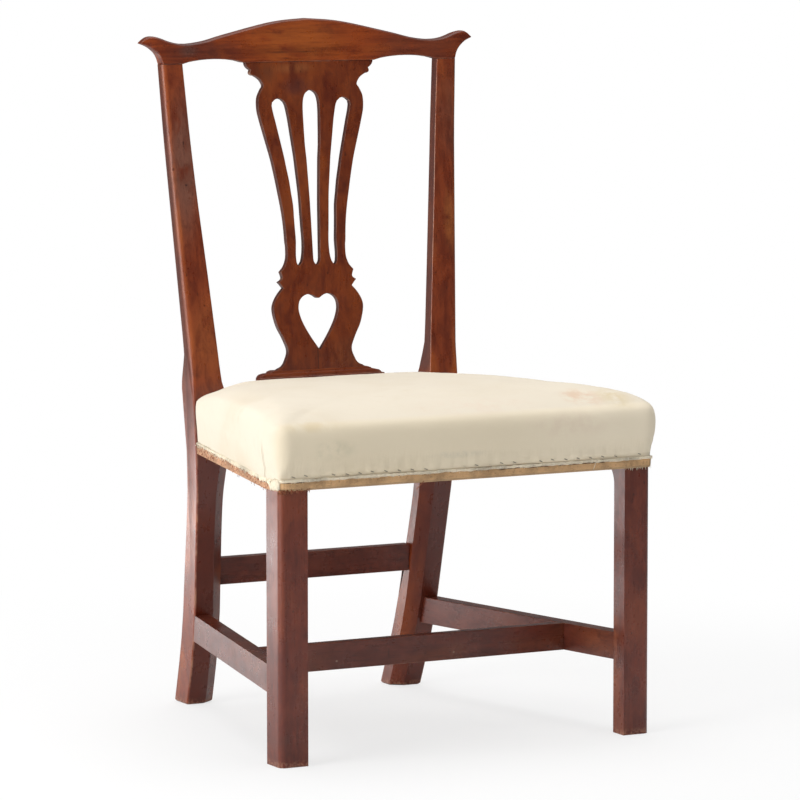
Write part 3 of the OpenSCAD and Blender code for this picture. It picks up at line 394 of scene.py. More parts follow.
def wood(name, grain, tone, settings, marks=(), crack=None, low=None):
    """Old polished wood: streaked grain, orange patches, dark pores, worn edges with a painted
    highlight, and painted shade and light by the way each face points.
    """
    dark, light, orange, streaky = TONES[tone]
    black = [c * 0.35 for c in dark]
    r = Recipe(name)
    x, y, z = r.axes(r.place())
    fibre = r.scaled(along(grain, 0.06, 1.0))
    bands = r.cloud(fibre, 45, 3, 0.55, 0.5)
    lines = r.cloud(fibre, 260, 4, 0.65)
    mottle = r.cloud(r.scaled(along(grain, 0.45, 1.0)), 55, 4, 0.6, 0.8)
    pores = r.cloud(r.scaled(along(grain, 0.035, 1.0)), 1100, 2, 0.6)
    patches = r.cloud(r.scaled(along(grain, 0.5, 1.0)), 16, 3, 0.5, 0.6)
    grime = r.cloud(r.place(), 30, 5, 0.65)
    grained = bands * 0.5 + lines * 0.5
    figure = grained * streaky + mottle * (1 - streaky)
    colour = r.blend(r.rise(figure, 0.36, 0.64), dark, light)
    colour = r.blend(r.rise(patches, 0.50, 0.70) * 0.6, colour, orange)
    # Below the seat the forward faces of the posts take the legs' dark tone: partly the posts' own
    # tone, partly painted shade on the faces that look forward
    if low:
        under = (1 - r.rise(z, low - 0.05, low + 0.02)) * r.kept("front")
        colour = r.blend(under * 0.85, colour, TONES["leg"][0])
    for centre, size, tint, share in marks:
        patch = r.spot(centre, size, 0.75) * r.rise(mottle, 0.25, 0.55)
        streaks = r.blend(r.rise(figure, 0.36, 0.64), [c * 0.68 for c in tint], tint)
        colour = r.blend(patch * share, colour, streaks)
    colour = r.blend(r.rise(grime, 0.56, 0.78) * 0.5, colour, black)
    colour = r.blend(r.rise(pores, 0.60, 0.68) * 0.45, colour, black)
    # Painted light: orange on the rounded front corners of the posts, broken into patches
    painted_light = r.kept("painted_light") * r.rise(patches + lines * 0.4, 0.5, 0.85)
    colour = r.blend(painted_light * 0.75, colour, orange)
    # Painted shade: the splat's sawn walls, the crest's top and underside and the posts' sides
    # above the seat go dark
    colour = r.blend(r.kept("dirt_and_painted_shade") * (0.95 - lines * 0.4), colour, black)
    # Edges paler in the worn colour: partly real wear, partly a painted highlight along each
    # rounding
    worn_and_highlight = r.kept("wear") * r.rise(r.cloud(r.place(), 60, 3), 0.42, 0.66)
    colour = r.blend(worn_and_highlight * 0.5, colour, tuple(settings.worn_and_highlight))
    scuffed = (1 - r.rise(z, 0.002, 0.011)) * r.rise(r.cloud(r.place(), 240, 3), 0.42, 0.6)
    colour = r.blend(scuffed * 0.5, colour, tuple(settings.worn_and_highlight))
    dents = r.rise(r.cloud(r.scaled(along(grain, 0.4, 1.0), shift=(2, 7, 1)), 210, 2), 0.70, 0.76)
    colour = r.blend(dents * 0.7, colour, black)
    if crack:
        middle, start, end = crack
        wander = (r.cloud(r.scaled((1, 1, 8)), 20, 2) - 0.5) * 0.002
        line = 1 - r.rise(abs(x + wander - middle), 0.00025, 0.0006)
        line = line * r.rise(z, start - 0.002, start) * (1 - r.rise(z, end - 0.004, end))
        colour = r.blend(line, colour, (0.012, 0.004, 0.003))
    rough = settings.gloss + (grime - 0.5) * 0.30 + (lines - 0.5) * 0.10
    rough = rough + r.kept("dirt_and_painted_shade") * 0.30
    height = lines * 0.5 + r.rise(pores, 0.62, 0.50) * 0.3 + grime * 0.7 - dents * 0.4
    return r.finish(colour, rough, height, 0.00018, 0.5, IOR=1.5)


def plain_wood(name, grain):
    """Sawn wood that never had a polish."""
    r = Recipe(name)
    fibre = r.scaled(along(grain, 0.05, 1.0))
    bands = r.cloud(fibre, 90, 4, 0.6, 0.6)
    # Real dirt here: dark patches on the sawn wood
    dirt_and_painted_shade = r.cloud(r.place(), 18, 4, 0.6)
    colour = r.blend(r.rise(bands, 0.35, 0.68), (0.30, 0.18, 0.09), (0.56, 0.40, 0.24))
    colour = r.blend(r.rise(dirt_and_painted_shade, 0.5, 0.8) * 0.6, colour, (0.16, 0.10, 0.06))
    return r.finish(colour, 0.72 + (bands - 0.5) * 0.2, bands + dirt_and_painted_shade, 0.0004, 0.6)


def weave(r, spacing):
    """Height of a plain weave, made of waves along all three axes."""
    turns = 2 * math.pi / (2 * spacing)
    waves = [r.maths("SINE", a * turns) for a in r.axes(r.place())]
    return waves[0] * waves[1] + waves[1] * waves[2] + waves[2] * waves[0]


def muslin(name, settings, low, high, pitch):
    """Undyed cotton with a plain weave, stained and creased, with painted shade in slanted puckers
    over the tacks and a painted shadow beside each corner pleat.
    """
    r = Recipe(name)
    cloth, stain_and_shadow = tuple(settings.cloth), tuple(settings.stain_and_shadow)
    front, top, foot = low.y, high.z, low.z
    x, y, z = r.axes(r.place())
    soft = r.cloud(r.place(), 7, 4, 0.55, 0.6)
    fine = r.cloud(r.place(), 45, 4, 0.6)
    weft = r.cloud(r.scaled((0.08, 1, 1)), 600, 2)
    warp = r.cloud(r.scaled((1, 1, 0.08)), 600, 2)
    slub = weft * 0.5 + warp * 0.5
    colour = r.blend(r.rise(soft, 0.45, 0.78) * 0.2, cloth, stain_and_shadow)
    colour = r.blend(r.rise(fine, 0.56, 0.82) * 0.16, colour, stain_and_shadow)
    facing = 1 - r.rise(y, front + 0.004, front + 0.022)
    colour = r.blend(facing * 0.85, colour, tuple(settings.front))
    colour = r.blend(facing * r.rise(x, 0.02, 0.22) * 0.55, colour, (0.93, 0.83, 0.66))
    under = (1 - r.rise(z, foot + 0.004, foot + 0.040)) * r.rise(soft, 0.25, 0.75)
    colour = r.blend(under * 0.22, colour, (0.62, 0.50, 0.31))
    marks = (
        ((0.190, -0.225, top - 0.008), (0.040, 0.05, 0.03), (0.66, 0.40, 0.24), 0.5),
        ((0.235, -0.235, top - 0.014), (0.030, 0.05, 0.03), (0.60, 0.47, 0.24), 0.5),
        ((0.020, -0.240, top - 0.010), (0.120, 0.05, 0.02), (0.72, 0.50, 0.38), 0.16),
        ((-0.235, front, top - 0.022), (0.065, 0.05, 0.012), (0.64, 0.50, 0.28), 0.42),
        ((-0.205, front, 0.4155), (0.045, 0.06, 0.018), (0.46, 0.44, 0.30), 0.34),
        ((-0.020, front, 0.4000), (0.060, 0.06, 0.007), (0.44, 0.42, 0.36), 0.26),
        ((0.150, front, 0.4300), (0.090, 0.06, 0.025), (0.70, 0.52, 0.42), 0.22),
    )
    for centre, size, tint, share in marks:
        patch = r.spot(centre, size, 0.8) * r.rise(fine, 0.36, 0.62)
        colour = r.blend(patch * share, colour, tint)
    colour = r.blend(r.rise(slub, 0.55, 0.75) * 0.15, colour, (0.90, 0.84, 0.70))
    # Dark slanted marks over the tacks of the front, each leaning down to the right: painted shade
    # of small puckers, also sunk by the bump
    turns = x * (1 / pitch)
    cell = r.maths("FLOOR", turns)
    chance = r.node("ShaderNodeTexWhiteNoise", {"noise_dimensions": "1D"}, {"W": cell}, "Value")
    across = (turns - cell - 0.5) * pitch + (chance - 0.5) * 0.004
    up = z - foot - 0.0034 - (chance - 0.5) * 0.0024
    tack_pucker_shade = 1 - r.rise(abs(up + across * 0.36), 0.0004, 0.0009)
    tack_pucker_shade = tack_pucker_shade * (1 - r.rise(abs(across), 0.0016, 0.0034))
    tack_pucker_shade = tack_pucker_shade * facing * r.rise(chance, 0.10, 0.30)
    colour = r.blend(tack_pucker_shade * 0.8, colour, (0.10, 0.085, 0.07))
    # Upright pleat behind the front corner, on both sides, with a painted shadow line beside it in
    # the stain colour
    lean = y - front - 0.049 + (z - foot) * 0.10
    reach = (1 - r.rise(z, foot + 0.030, foot + 0.055)) * r.rise(abs(x), 0.25, 0.27)
    pleat = (1 - r.rise(abs(lean), 0.0005, 0.0030)) * reach
    shadow = (1 - r.rise(abs(lean - 0.0022), 0.0003, 0.0014)) * reach
    colour = r.blend(shadow * 0.45, colour, stain_and_shadow)
    drawn = r.maths("SINE", turns * (2 * math.pi)) * (1 - r.rise(z, foot, foot + 0.025)) * facing
    gathers = r.cloud(r.scaled((1, 1, 0.12)), 170, 2) * (1 - r.rise(z, foot + 0.01, foot + 0.05))
    height = weave(r, settings.thread) * 0.02 + slub * 0.1 + pleat * 2.2 + gathers * 0.5
    height = height + drawn * 0.35 - tack_pucker_shade * 1.2
    return r.finish(colour, 0.93, height, 0.0016, 0.7, **DULL, **{"Sheen Weight": 0.12})


def webbing(name, colour, dark, spacing, holes=0.0, hem_shadows=(), top=0.0):
    """Flat coarse tape, with specks, old holes, a painted shadow line of the hem below its top and
    a darker foot.
    """
    r = Recipe(name)
    soft = r.cloud(r.place(), 30, 4, 0.6)
    specks = r.cloud(r.place(), 260, 3, 0.7)
    tint = r.blend(r.rise(soft, 0.38, 0.7), colour, [c * 0.62 for c in colour])
    tint = r.blend(r.rise(specks, 0.57, 0.66) * (0.35 + holes), tint, dark)
    pale = r.cloud(r.scaled(shift=(3, 5, 7)), 190, 3, 0.7)
    bright = [min(1, c * 1.5) for c in colour]
    tint = r.blend(r.rise(pale, 0.58, 0.68) * (0.3 + holes), tint, bright)
    if hem_shadows:
        x, y, z = r.axes(r.place())
        below, blur = 0.0038, 0.003
        # Painted shadow of the hem: a dark wavy line just below the strip's top, over each listed
        # stretch
        for start, end in hem_shadows:
            line = 1 - r.rise(abs(z - top + below + (soft - 0.5) * blur), 0.0003, 0.0011)
            line = line * r.rise(x, start - blur, start + blur)
            line = line * (1 - r.rise(x, end - blur, end + blur))
            tint = r.blend(line * 0.85, tint, (0.03, 0.014, 0.008))
        foot = 1 - r.rise(z, top - 0.0130, top - 0.0108)
        tint = r.blend(foot * 0.6, tint, [c * 0.5 + 0.05 for c in colour])
    height = weave(r, spacing) * 0.4 + specks
    return r.finish(tint, 0.9, height, 0.0005, 0.7, **DULL)


def yarn(name, colour):
    """Loose thread, in a darker and a lighter tone."""
    r = Recipe(name)
    tone = r.cloud(r.place(), 300, 2, 0.5)
    shade = r.blend(r.rise(tone, 0.35, 0.65), colour, [c * 0.6 for c in colour])
    return r.finish(shade, 0.95, tone, 0.0002)


def iron(name):
    """Blackened iron with brown rust."""
    r = Recipe(name)
    rust = r.cloud(r.place(), 420, 4, 0.7)
    colour = r.blend(r.rise(rust, 0.45, 0.65), (0.035, 0.025, 0.02), (0.16, 0.065, 0.03))
    r.feed(r.shader.inputs["Metallic"], 1 - r.rise(rust, 0.4, 0.6))
    return r.finish(colour, 0.55 + rust * 0.3, rust, 0.0002, 0.6)


def dress(node, material):
    """Gives a CAD node that stays in view its finish."""
    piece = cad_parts[node]
    piece.data.materials.clear()
    piece.data.materials.append(material)
    return piece


def copy_of(node, merge=0.00005):
    """A bmesh with a CAD node's own shape, its loose triangles merged."""
    bm = bmesh.new()
    bm.from_mesh(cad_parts[node].data)
    bmesh.ops.remove_doubles(bm, verts=bm.verts, dist=merge)
    bmesh.ops.dissolve_degenerate(bm, edges=bm.edges, dist=merge)
    bmesh.ops.recalc_face_normals(bm, faces=bm.faces)
    return bm


def new_object(name, bm):
    """Turns a bmesh into an object of the scene."""
    mesh = bpy.data.meshes.new(name)
    bm.to_mesh(mesh)
    bm.free()
    made = bpy.data.objects.new(name, mesh)
    bpy.context.scene.collection.objects.link(made)
    return made


def make_piece(name, bm, material, nodes=()):
    """Turns a bmesh into a piece of the chair that rides on its frame."""
    piece = new_object(name, bm)
    mesh = piece.data
    mesh.polygons.foreach_set("use_smooth", [True] * len(mesh.polygons))
    mesh.materials.append(material)
    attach(piece, BODY)
    if nodes:
        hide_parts(*nodes)
    return piece


def clear_flat(bm, degrees):
    """Takes the edges off faces that are flat to within an angle."""
    flat = math.radians(degrees)
    bmesh.ops.dissolve_limit(bm, angle_limit=flat, verts=bm.verts, edges=bm.edges, delimit=set())


def smooth(bm, verts, factor):
    """Evens out the places of some points of a surface, once."""
    bmesh.ops.smooth_vert(
        bm, verts=verts, factor=factor, use_axis_x=True, use_axis_y=True, use_axis_z=True
    )


def soften_edges(bm, width, sharp):
    """Clears the triangles off flat faces, rounds the sharp edges, and marks the middle of each
    rounding, where the polish wears and a highlight is painted.
    """
    clear_flat(bm, 0.4)
    keen = [e for e in bm.edges if e.is_manifold and e.calc_face_angle() > sharp]
    bmesh.ops.bevel(
        bm, geom=keen, offset=width, offset_type="OFFSET", segments=2, profile=0.5,
        affect="EDGES", clamp_overlap=True, material=-1,
    )
    wear = bm.verts.layers.float.new("wear")
    narrow = 1.6 * width
    for v in bm.verts:
        slim = all(
            f.calc_area() < narrow * max(e.calc_length() for e in f.edges) for f in v.link_faces
        )
        v[wear] = 1.0 if slim else 0.0


def ramp(value, low, high):
    """Nought below low, one above high, and smooth between them."""
    t = min(max((value - low) / (high - low), 0.0), 1.0)
    return t * t * (3 - 2 * t)


def painted_shade_at(node, point, normal, seat):
    """Painted shade on the back, by the way a face points: the splat's sawn walls, the crest's top
    and underside, and the posts' sides above the seat.
    """
    if node == "splat":
        return 1 - ramp(abs(normal.y), 0.5, 0.9)
    if node == "crest_rail":
        return 0.8 * ramp(abs(normal.z), 0.3, 0.8)
    if node.endswith("back_post"):
        return ramp(abs(normal.x), 0.75, 0.98) * ramp(point.z, seat, seat + 0.04)
    return 0.0


def painted_light_at(node, point, normal, seat):
    """Painted light in orange on the rounded front corners of the posts, above the seat."""
    if not node.endswith("back_post") or normal.y > 0:
        return 0.0
    corner = 1 - min(abs(abs(normal.x) - 0.55) / 0.4, 1.0)
    return corner * ramp(point.z, seat, seat + 0.04)


def keep_number(bm, name, rule):
    """Keeps a number for each point of the mesh, worked out from its place and normal."""
    layer = bm.verts.layers.float.new(name)
    for v in bm.verts:
        v[layer] = rule(v.co, v.normal)


class CHAIR_OT_timber(bpy.types.Operator):
    """Makes the wooden pieces that show, with worn edges, polished grain, and painted shade, light
    and highlights
    """

    bl_idname = "chair.timber"
    bl_label = "Polished Wood"

    def execute(self, context):
        s = context.scene.chair_timber
        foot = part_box("splat")[0].z
        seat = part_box("rear_seat_rail")[1].z
        for node, (grain, tone) in TIMBER.items():
            crack = (-0.004, foot, foot + 0.060) if node == "splat" else None
            low = seat if node.endswith("back_post") else None
            bm = copy_of(node)
            soften_edges(bm, s.edge, s.sharp)
            bm.normal_update()
            keep_number(bm, "dirt_and_painted_shade", lambda p, n: painted_shade_at(node, p, n, seat))
            keep_number(bm, "painted_light", lambda p, n: painted_light_at(node, p, n, seat))
            keep_number(bm, "front", lambda p, n: ramp(-n.y, 0.6, 0.9))
            finish = wood(node + "_wood", grain, tone, s, MARKS.get(node, ()), crack, low)
            piece = make_piece(node + "_worn", bm, finish, [node])
            even = piece.modifiers.new("Even shading", "WEIGHTED_NORMAL")
            even.weight = 80
        return {"FINISHED"}


class CHAIR_OT_seat_frame(bpy.types.Operator):
    """Finishes the rails, blocks and pegs inside the seat"""

    bl_idname = "chair.seat_frame"
    bl_label = "Seat Frame"

    def execute(self, context):
        finishes = {g: plain_wood("plain_wood_" + g, g) for g in "xyz"}
        for node, grain in HIDDEN_TIMBER.items():
            dress(node, finishes[grain])
        return {"FINISHED"}


class CHAIR_OT_underside(bpy.types.Operator):
    """Finishes the webbing, the sackcloth, the stuffing and the tacks under the seat"""

    bl_idname = "chair.underside"
    bl_label = "Webbing and Sackcloth"

    def execute(self, context):
        jute = webbing("jute_webbing", (0.50, 0.37, 0.21), (0.2, 0.14, 0.08), 0.0016)
        for node in STRAPS:
            dress(node, jute)
        burlap = webbing("burlap", (0.46, 0.35, 0.21), (0.2, 0.14, 0.08), 0.0012)
        dress("sackcloth", burlap)
        dress("webbing_tacks", iron("webbing_tack_iron"))
        dress("shoe_nails", iron("shoe_nail_iron"))
        bm = copy_of("stuffing_pad")
        clear_flat(bm, 1)
        bmesh.ops.triangulate(bm, faces=bm.faces)
        for _ in range(5):
            long_ones = [e for e in bm.edges if e.calc_length() > 0.02]
            bmesh.ops.subdivide_edges(bm, edges=long_ones, cuts=1, use_grid_fill=True)
            bmesh.ops.triangulate(bm, faces=[f for f in bm.faces if len(f.verts) > 3])
        for v in bm.verts:
            v.co += v.normal * 0.0015 * (noise.noise(v.co * 40) - 0.6)
        smooth(bm, bm.verts, 0.4)
        hair = webbing("loose_stuffing", (0.62, 0.55, 0.42), (0.3, 0.24, 0.16), 0.003)
        pad = make_piece("stuffing", bm, hair, ["stuffing_pad"])
        return {"FINISHED"}


def even_faces(bm, size):
    """Remakes a closed bmesh in even four-sided faces of about one size."""
    solid = new_object("uneven", bm)
    mesh = solid.data
    even = solid.modifiers.new("Even faces", "REMESH")
    even.mode = "VOXEL"
    even.voxel_size = size
    seen = solid.evaluated_get(bpy.context.evaluated_depsgraph_get())
    made = bmesh.new()
    made.from_mesh(seen.to_mesh())
    seen.to_mesh_clear()
    bpy.data.objects.remove(solid)
    bpy.data.meshes.remove(mesh)
    return made


def inside_faces(bm, low, high):
    """Faces that look down, or in towards the middle of the seat."""
    down, up, inwards = -0.7, 0.3, 0.25
    middle = Vector((0, (low.y + high.y) / 2, 0))
    found = []
    for f in bm.faces:
        inward = (middle - f.calc_center_median()) * Vector((1, 1, 0))
        across = Vector((f.normal.x, f.normal.y, 0))
        if f.normal.z < down:
            found.append(f)
        elif f.normal.z < up and across.dot(inward.normalized()) > inwards:
            found.append(f)
    return found


def add_core(bm, foot, top):
    """Adds a block that fills the hollow of the cover, and tells where its back is."""
    leg_low, leg_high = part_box("front_right_leg")
    rail_low, rail_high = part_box("rear_seat_rail")
    band = [v.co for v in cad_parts["right_edge_band"].data.vertices]
    band_end = max(v.y for v in band)
    inset, strip, cut = 0.001, 0.003, 0.011
    wide, front, bend = leg_high.x - inset, leg_low.y + inset, leg_high.y
    back = (rail_low.y + rail_high.y) / 2
    end = max(v.x for v in band if v.y > band_end - STRIP_END) - strip - inset
    narrow = wide + (end - wide) * (back - bend) / (band_end - bend)
    half = [(narrow, back), (wide, bend), (wide, front + cut), (wide - cut, front)]
    plan = half + [(-x, y) for x, y in reversed(half)]
    base = bm.faces.new([bm.verts.new((x, y, foot)) for x, y in plan])
    made = bmesh.ops.extrude_face_region(bm, geom=[base], use_keep_orig=True)["geom"]
    upper = [g for g in made if isinstance(g, bmesh.types.BMVert)]
    bmesh.ops.translate(bm, vec=(0, 0, top - foot), verts=upper)
    bmesh.ops.recalc_face_normals(bm, faces=bm.faces)
    return back


def cover_skin(size):
    """The outer skin of the seat cover's solid, open underneath, in even faces."""
    low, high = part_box("seat_cover")
    bm = copy_of("seat_cover")
    for v in bm.verts:
        if v.co.z < low.z + 0.001:
            v.co.z -= 2 * size
    rail_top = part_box("rear_seat_rail")[1].z
    back = add_core(bm, low.z - 2 * size, rail_top - 0.001)
    bm = even_faces(bm, size)
    bmesh.ops.bisect_plane(
        bm,
        geom=bm.verts[:] + bm.edges[:] + bm.faces[:],
        plane_co=(0, 0, low.z),
        plane_no=(0, 0, 1),
        clear_inner=True,
    )
    bm.normal_update()
    inside = inside_faces(bm, low, high)
    for f in bm.faces:
        middle = f.calc_center_median()
        if f.normal.y > 0.5 and middle.y < back + size and middle.z < rail_top:
            inside.append(f)
    bmesh.ops.delete(bm, geom=list(set(inside)), context="FACES")
    kept = {max(bm.verts, key=lambda v: v.co.z)}
    border = set(kept)
    while border:
        border = {e.other_vert(v) for v in border for e in v.link_edges} - kept
        kept |= border
    bmesh.ops.delete(bm, geom=[v for v in bm.verts if v not in kept], context="VERTS")
    relax(bm, 2)
    solid = copy_of("seat_cover")
    onto_surface(bm, BVHTree.FromBMesh(solid), reach=0.006)
    solid.free()
    relax(bm, 1)
    return bm


def onto_surface(bm, tree, reach):
    """Moves each loose point along its normal to the outer surface, if that is near."""
    bm.normal_update()
    moved = []
    for v in bm.verts:
        if v.is_boundary:
            continue
        hit = tree.ray_cast(v.co, v.normal, reach)[0]
        if hit is None:
            hit = tree.ray_cast(v.co, -v.normal, reach)[0]
        if hit is not None:
            moved.append((v, hit))
    for v, hit in moved:
        v.co = hit


def relax(bm, rounds):
    """Evens out a surface and leaves its border where it is."""
    loose = [v for v in bm.verts if not v.is_boundary]
    for _ in range(rounds):
        smooth(bm, loose, 0.5)


class CHAIR_OT_seat_cover(bpy.types.Operator):
    """Makes the muslin over the stuffed seat, swelled by its stuffing"""

    bl_idname = "chair.seat_cover"
    bl_label = "Seat Cover"

    def execute(self, context):
        s = context.scene.chair_seat
        low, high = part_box("seat_cover")
        bm = cover_skin(COVER_FACE)
        finish = muslin("muslin", s, low, high, context.scene.chair_trim.pitch)
        cover = make_piece("muslin_cover", bm, finish, ["seat_cover"])
        self.swell(context, cover, s)
        self.crease(cover, low, high)
        finer = cover.modifiers.new("Finer", "SUBSURF")
        finer.levels = finer.render_levels = 1
        wall = cover.modifiers.new("Cloth", "SOLIDIFY")
        wall.thickness = 0.0009
        wall.offset = -1
        return {"FINISHED"}

    def swell(self, context, cover, s):
        """Lets the stuffing press the cloth out between its held edges."""
        mesh = cover.data
        bm = bmesh.new()
        bm.from_mesh(mesh)
        held = [v.index for v in bm.verts if v.is_boundary]
        bm.free()
        before = [v.co.copy() for v in mesh.vertices]
        pins = cover.vertex_groups.new(name="held")
        pins.add(held, 1.0, "REPLACE")
        cloth = cover.modifiers.new("Cloth", "CLOTH")
        for key, value in CLOTH.items():
            setattr(cloth.settings, key, value)
        cloth.settings.uniform_pressure_force = s.pressure
        cloth.settings.effector_weights.gravity = 0
        cloth.point_cache.frame_start = 1
        cloth.point_cache.frame_end = CLOTH_FRAMES
        scene = context.scene
        for step in range(1, CLOTH_FRAMES + 1):
            scene.frame_set(step)
        seen = cover.evaluated_get(context.evaluated_depsgraph_get())
        after = [v.co.copy() for v in seen.data.vertices]
        cover.modifiers.remove(cloth)
        cover.vertex_groups.clear()
        scene.frame_set(1)
        for v, old, new in zip(mesh.vertices, before, after):
            move = new - old
            if move.length > s.swell:
                move *= s.swell / move.length
            v.co = old + move
        mesh.update()

    def crease(self, cover, low, high):
        """Puckers along the held edge, and an upright fold at each front corner."""
        mesh = cover.data
        normals = [v.normal.copy() for v in mesh.vertices]
        for v, n in zip(mesh.vertices, normals):
            p = v.co
            side = 1 if p.x > 0 else -1
            foot = max(0.0, 1 - (p.z - low.z) / 0.030)
            pucker = 0.0006 * foot * noise.noise(Vector((p.x * 70, p.y * 70, 2.5)))
            corner = Vector((p.x - side * (high.x - 0.012), p.y - (low.y + 0.012), 0))
            near = math.exp(-((corner.length / 0.022) ** 2))
            wave = math.sin(math.atan2(corner.y, corner.x * side) * 9 + side)
            upright = max(0.0, 1 - (p.z - low.z) / 0.060)
            fold = 0.0011 * near * wave * upright
            loose = 0.0008 * noise.noise(p * 14)
            if abs(n.z) < 0.95 or p.z > low.z + 0.02:
                v.co = p + n * (pucker + fold + loose)
        mesh.update()


def edge_run(side, steps):
    """Places, outward directions and ways along a side strip's top, from mid corner to back."""
    low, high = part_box("left_edge_band")
    turn = CORNER_RADIUS
    wide = -low.x
    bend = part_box("front_left_leg")[1].y
    verts = [v.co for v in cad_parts["left_edge_band"].data.vertices]
    narrow = max(-v.x for v in verts if v.y > high.y - STRIP_END)
    corner = Vector((wide - turn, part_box("front_edge_band")[0].y + turn, high.z))
    keys = []
    for degrees in range(45, -1, -9):
        a = math.radians(degrees)
        keys.append(corner + Vector((math.cos(a), -math.sin(a), 0)) * turn)
    keys += [Vector((wide, bend, high.z)), Vector((narrow, high.y, high.z))]
    ways = [0.0]
    for a, b in zip(keys, keys[1:]):
        ways.append(ways[-1] + (b - a).length)
    run = []
    for i in range(steps + 1):
        way = ways[-1] * i / steps
        k = max(j for j in range(len(keys) - 1) if ways[j] <= way)
        ahead = (keys[k + 1] - keys[k]).normalized()
        p = keys[k] + ahead * (way - ways[k])
        run.append((Vector((side * p.x, p.y, p.z)), Vector((side * ahead.y, -ahead.x, 0)), way))
    return run


def front_run(steps):
    """Places, outward directions and ways along the front strip's top, to both mid corners."""
    low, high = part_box("front_edge_band")
    turn, half = CORNER_RADIUS, FRONT_HALF
    arc = turn * math.radians(45)
    run = []
    for i in range(steps + 1):
        way = (half + arc) * (2 * i / steps - 1)
        side = 1 if way > 0 else -1
        a = max(0.0, abs(way) - half) / turn
        x = side * (min(abs(way), half) + turn * math.sin(a))
        p = Vector((x, low.y + turn - turn * math.cos(a), high.z))
        run.append((p, Vector((side * math.sin(a), -math.cos(a), 0)), way))
    return run


def uneven(way, often, seed):
    """Smooth noise along a run, between -1 and 1."""
    return noise.noise(Vector((way * often, seed, 0)))


def hem(bm, run):
    """A ragged rolled hem along a run, uneven in height and thickness."""
    proud = 0.0026
    rings = []
    for p, out, way in run:
        tall = 0.0020 * (1 + 0.40 * uneven(way, 190, 1.5))
        thick = 0.0010 * (1 + 0.4 * uneven(way, 260, 8.5))
        rise = -0.0012 + 0.0007 * uneven(way, 120, 4.5)
        made = bmesh.ops.create_circle(bm, cap_ends=False, radius=1, segments=8)
        for v in made["verts"]:
            v.co = p + out * (proud + v.co.x * thick) + UP * (rise + v.co.y * tall)
        rings.append(made["verts"])
    join_rings(bm, rings)


def torn_length(way, last):
    """How far the torn muslin hangs down at a place along a side, and how ragged it is."""
    flap, corner, side = 0.0136, 0.020, 0.032
    if way < corner:
        return flap, 0.12
    if way < side:
        return flap - 0.0095 * ramp(way, corner, side), 0.55
    return 0.0044 * (1 - way / last) + 0.0014, 0.55


def skirt(bm, run, rng):
    """The raw edge of the muslin, which hangs over a side strip and is torn along its foot."""
    shortest = 0.0006
    top = []
    for p, out, way in run:
        top.append(bm.verts.new(p - out * 0.0008 + UP * 0.0014))
    row = [bm.edges.new(pair) for pair in zip(top, top[1:])]
    for level, share in enumerate((0.02, 0.30, 0.65, 1.0)):
        made = bmesh.ops.extrude_edge_only(bm, edges=row)["geom"]
        row = [g for g in made if isinstance(g, bmesh.types.BMEdge)]
        for v in [g for g in made if isinstance(g, bmesh.types.BMVert)]:
            p, out, way = min(run, key=lambda r: (r[0].xy - v.co.xy).length)
            long, ragged = torn_length(way, run[-1][2])
            long *= 1 + ragged * (uneven(way, 240, 3.5) + 0.6 * uneven(way, 700, 6.5))
            wave = 0.0005 * uneven(way, 90, level * 2.0)
            v.co = p + out * (0.0007 + wave) - UP * (max(long, shortest) * share)
    for _ in range(len(run) // 2):
        p, out, way = rng.choice(run)
        start = p + out * 0.0009 - UP * rng.uniform(0.0, 0.0035)
        thread(bm, rng, start, out * 0.2, rng.uniform(0.0015, 0.0045), 0.0002, 0.8)


def join_rings(bm, rings):
    """Skins a row of rings, and closes both ends."""
    for a, b in zip(rings, rings[1:]):
        edges = list({e for v in a for e in v.link_edges if e.other_vert(v) in a})
        edges += list({e for v in b for e in v.link_edges if e.other_vert(v) in b})
        bmesh.ops.bridge_loops(bm, edges=edges)
    for ring in (rings[0], rings[-1]):
        bm.faces.new(ring)


def strand(bm, points, radius):
    """A thin thread: a small ring swept along its points and closed at both ends."""
    rings = []
    for i, p in enumerate(points):
        ahead = points[min(i + 1, len(points) - 1)] - points[max(i - 1, 0)]
        ahead.normalize()
        made = bmesh.ops.create_circle(bm, cap_ends=False, radius=radius, segments=5)
        turn = ahead.to_track_quat("Z", "Y")
        for v in made["verts"]:
            v.co = p + turn @ v.co
        rings.append(made["verts"])
    join_rings(bm, rings)


def thread(bm, rng, start, out, length, radius, bend, steps=3):
    """A thread that comes out of an edge, bends over and hangs down."""
    sway = Vector((rng.uniform(-1, 1), rng.uniform(-1, 1), 0)) * bend
    points = []
    for i in range(steps + 1):
        t = i / steps
        points.append(
            start
            + out * length * 0.35 * math.sin(t * 2.2)
            + sway * length * 0.45 * t * t
            - UP * (length * 0.85 * t)
        )
    strand(bm, points, radius)


class CHAIR_OT_edge_bands(bpy.types.Operator):
    """Makes the bare webbing strips along the lower edge, and the tacks"""

    bl_idname = "chair.edge_bands"
    bl_label = "Edge Webbing"

    def execute(self, context):
        s = context.scene.chair_trim
        # Stretches of the front strip that take the hem's painted shadow line
        hem_shadows = ((-0.275, -0.245), (0.045, 0.120), (0.135, 0.205))
        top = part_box("front_edge_band")[1].z
        front = webbing(
            "front_webbing", tuple(s.webbing), (0.16, 0.07, 0.03), 0.0011, 0.0, hem_shadows, top
        )
        rough = webbing("side_webbing", tuple(s.old_webbing), (0.10, 0.035, 0.02), 0.0011, 0.55)
        dress("front_edge_band", front)
        dress("left_edge_band", rough)
        dress("right_edge_band", rough)
        dress("cover_tacks", iron("cover_tack_iron"))
        return {"FINISHED"}


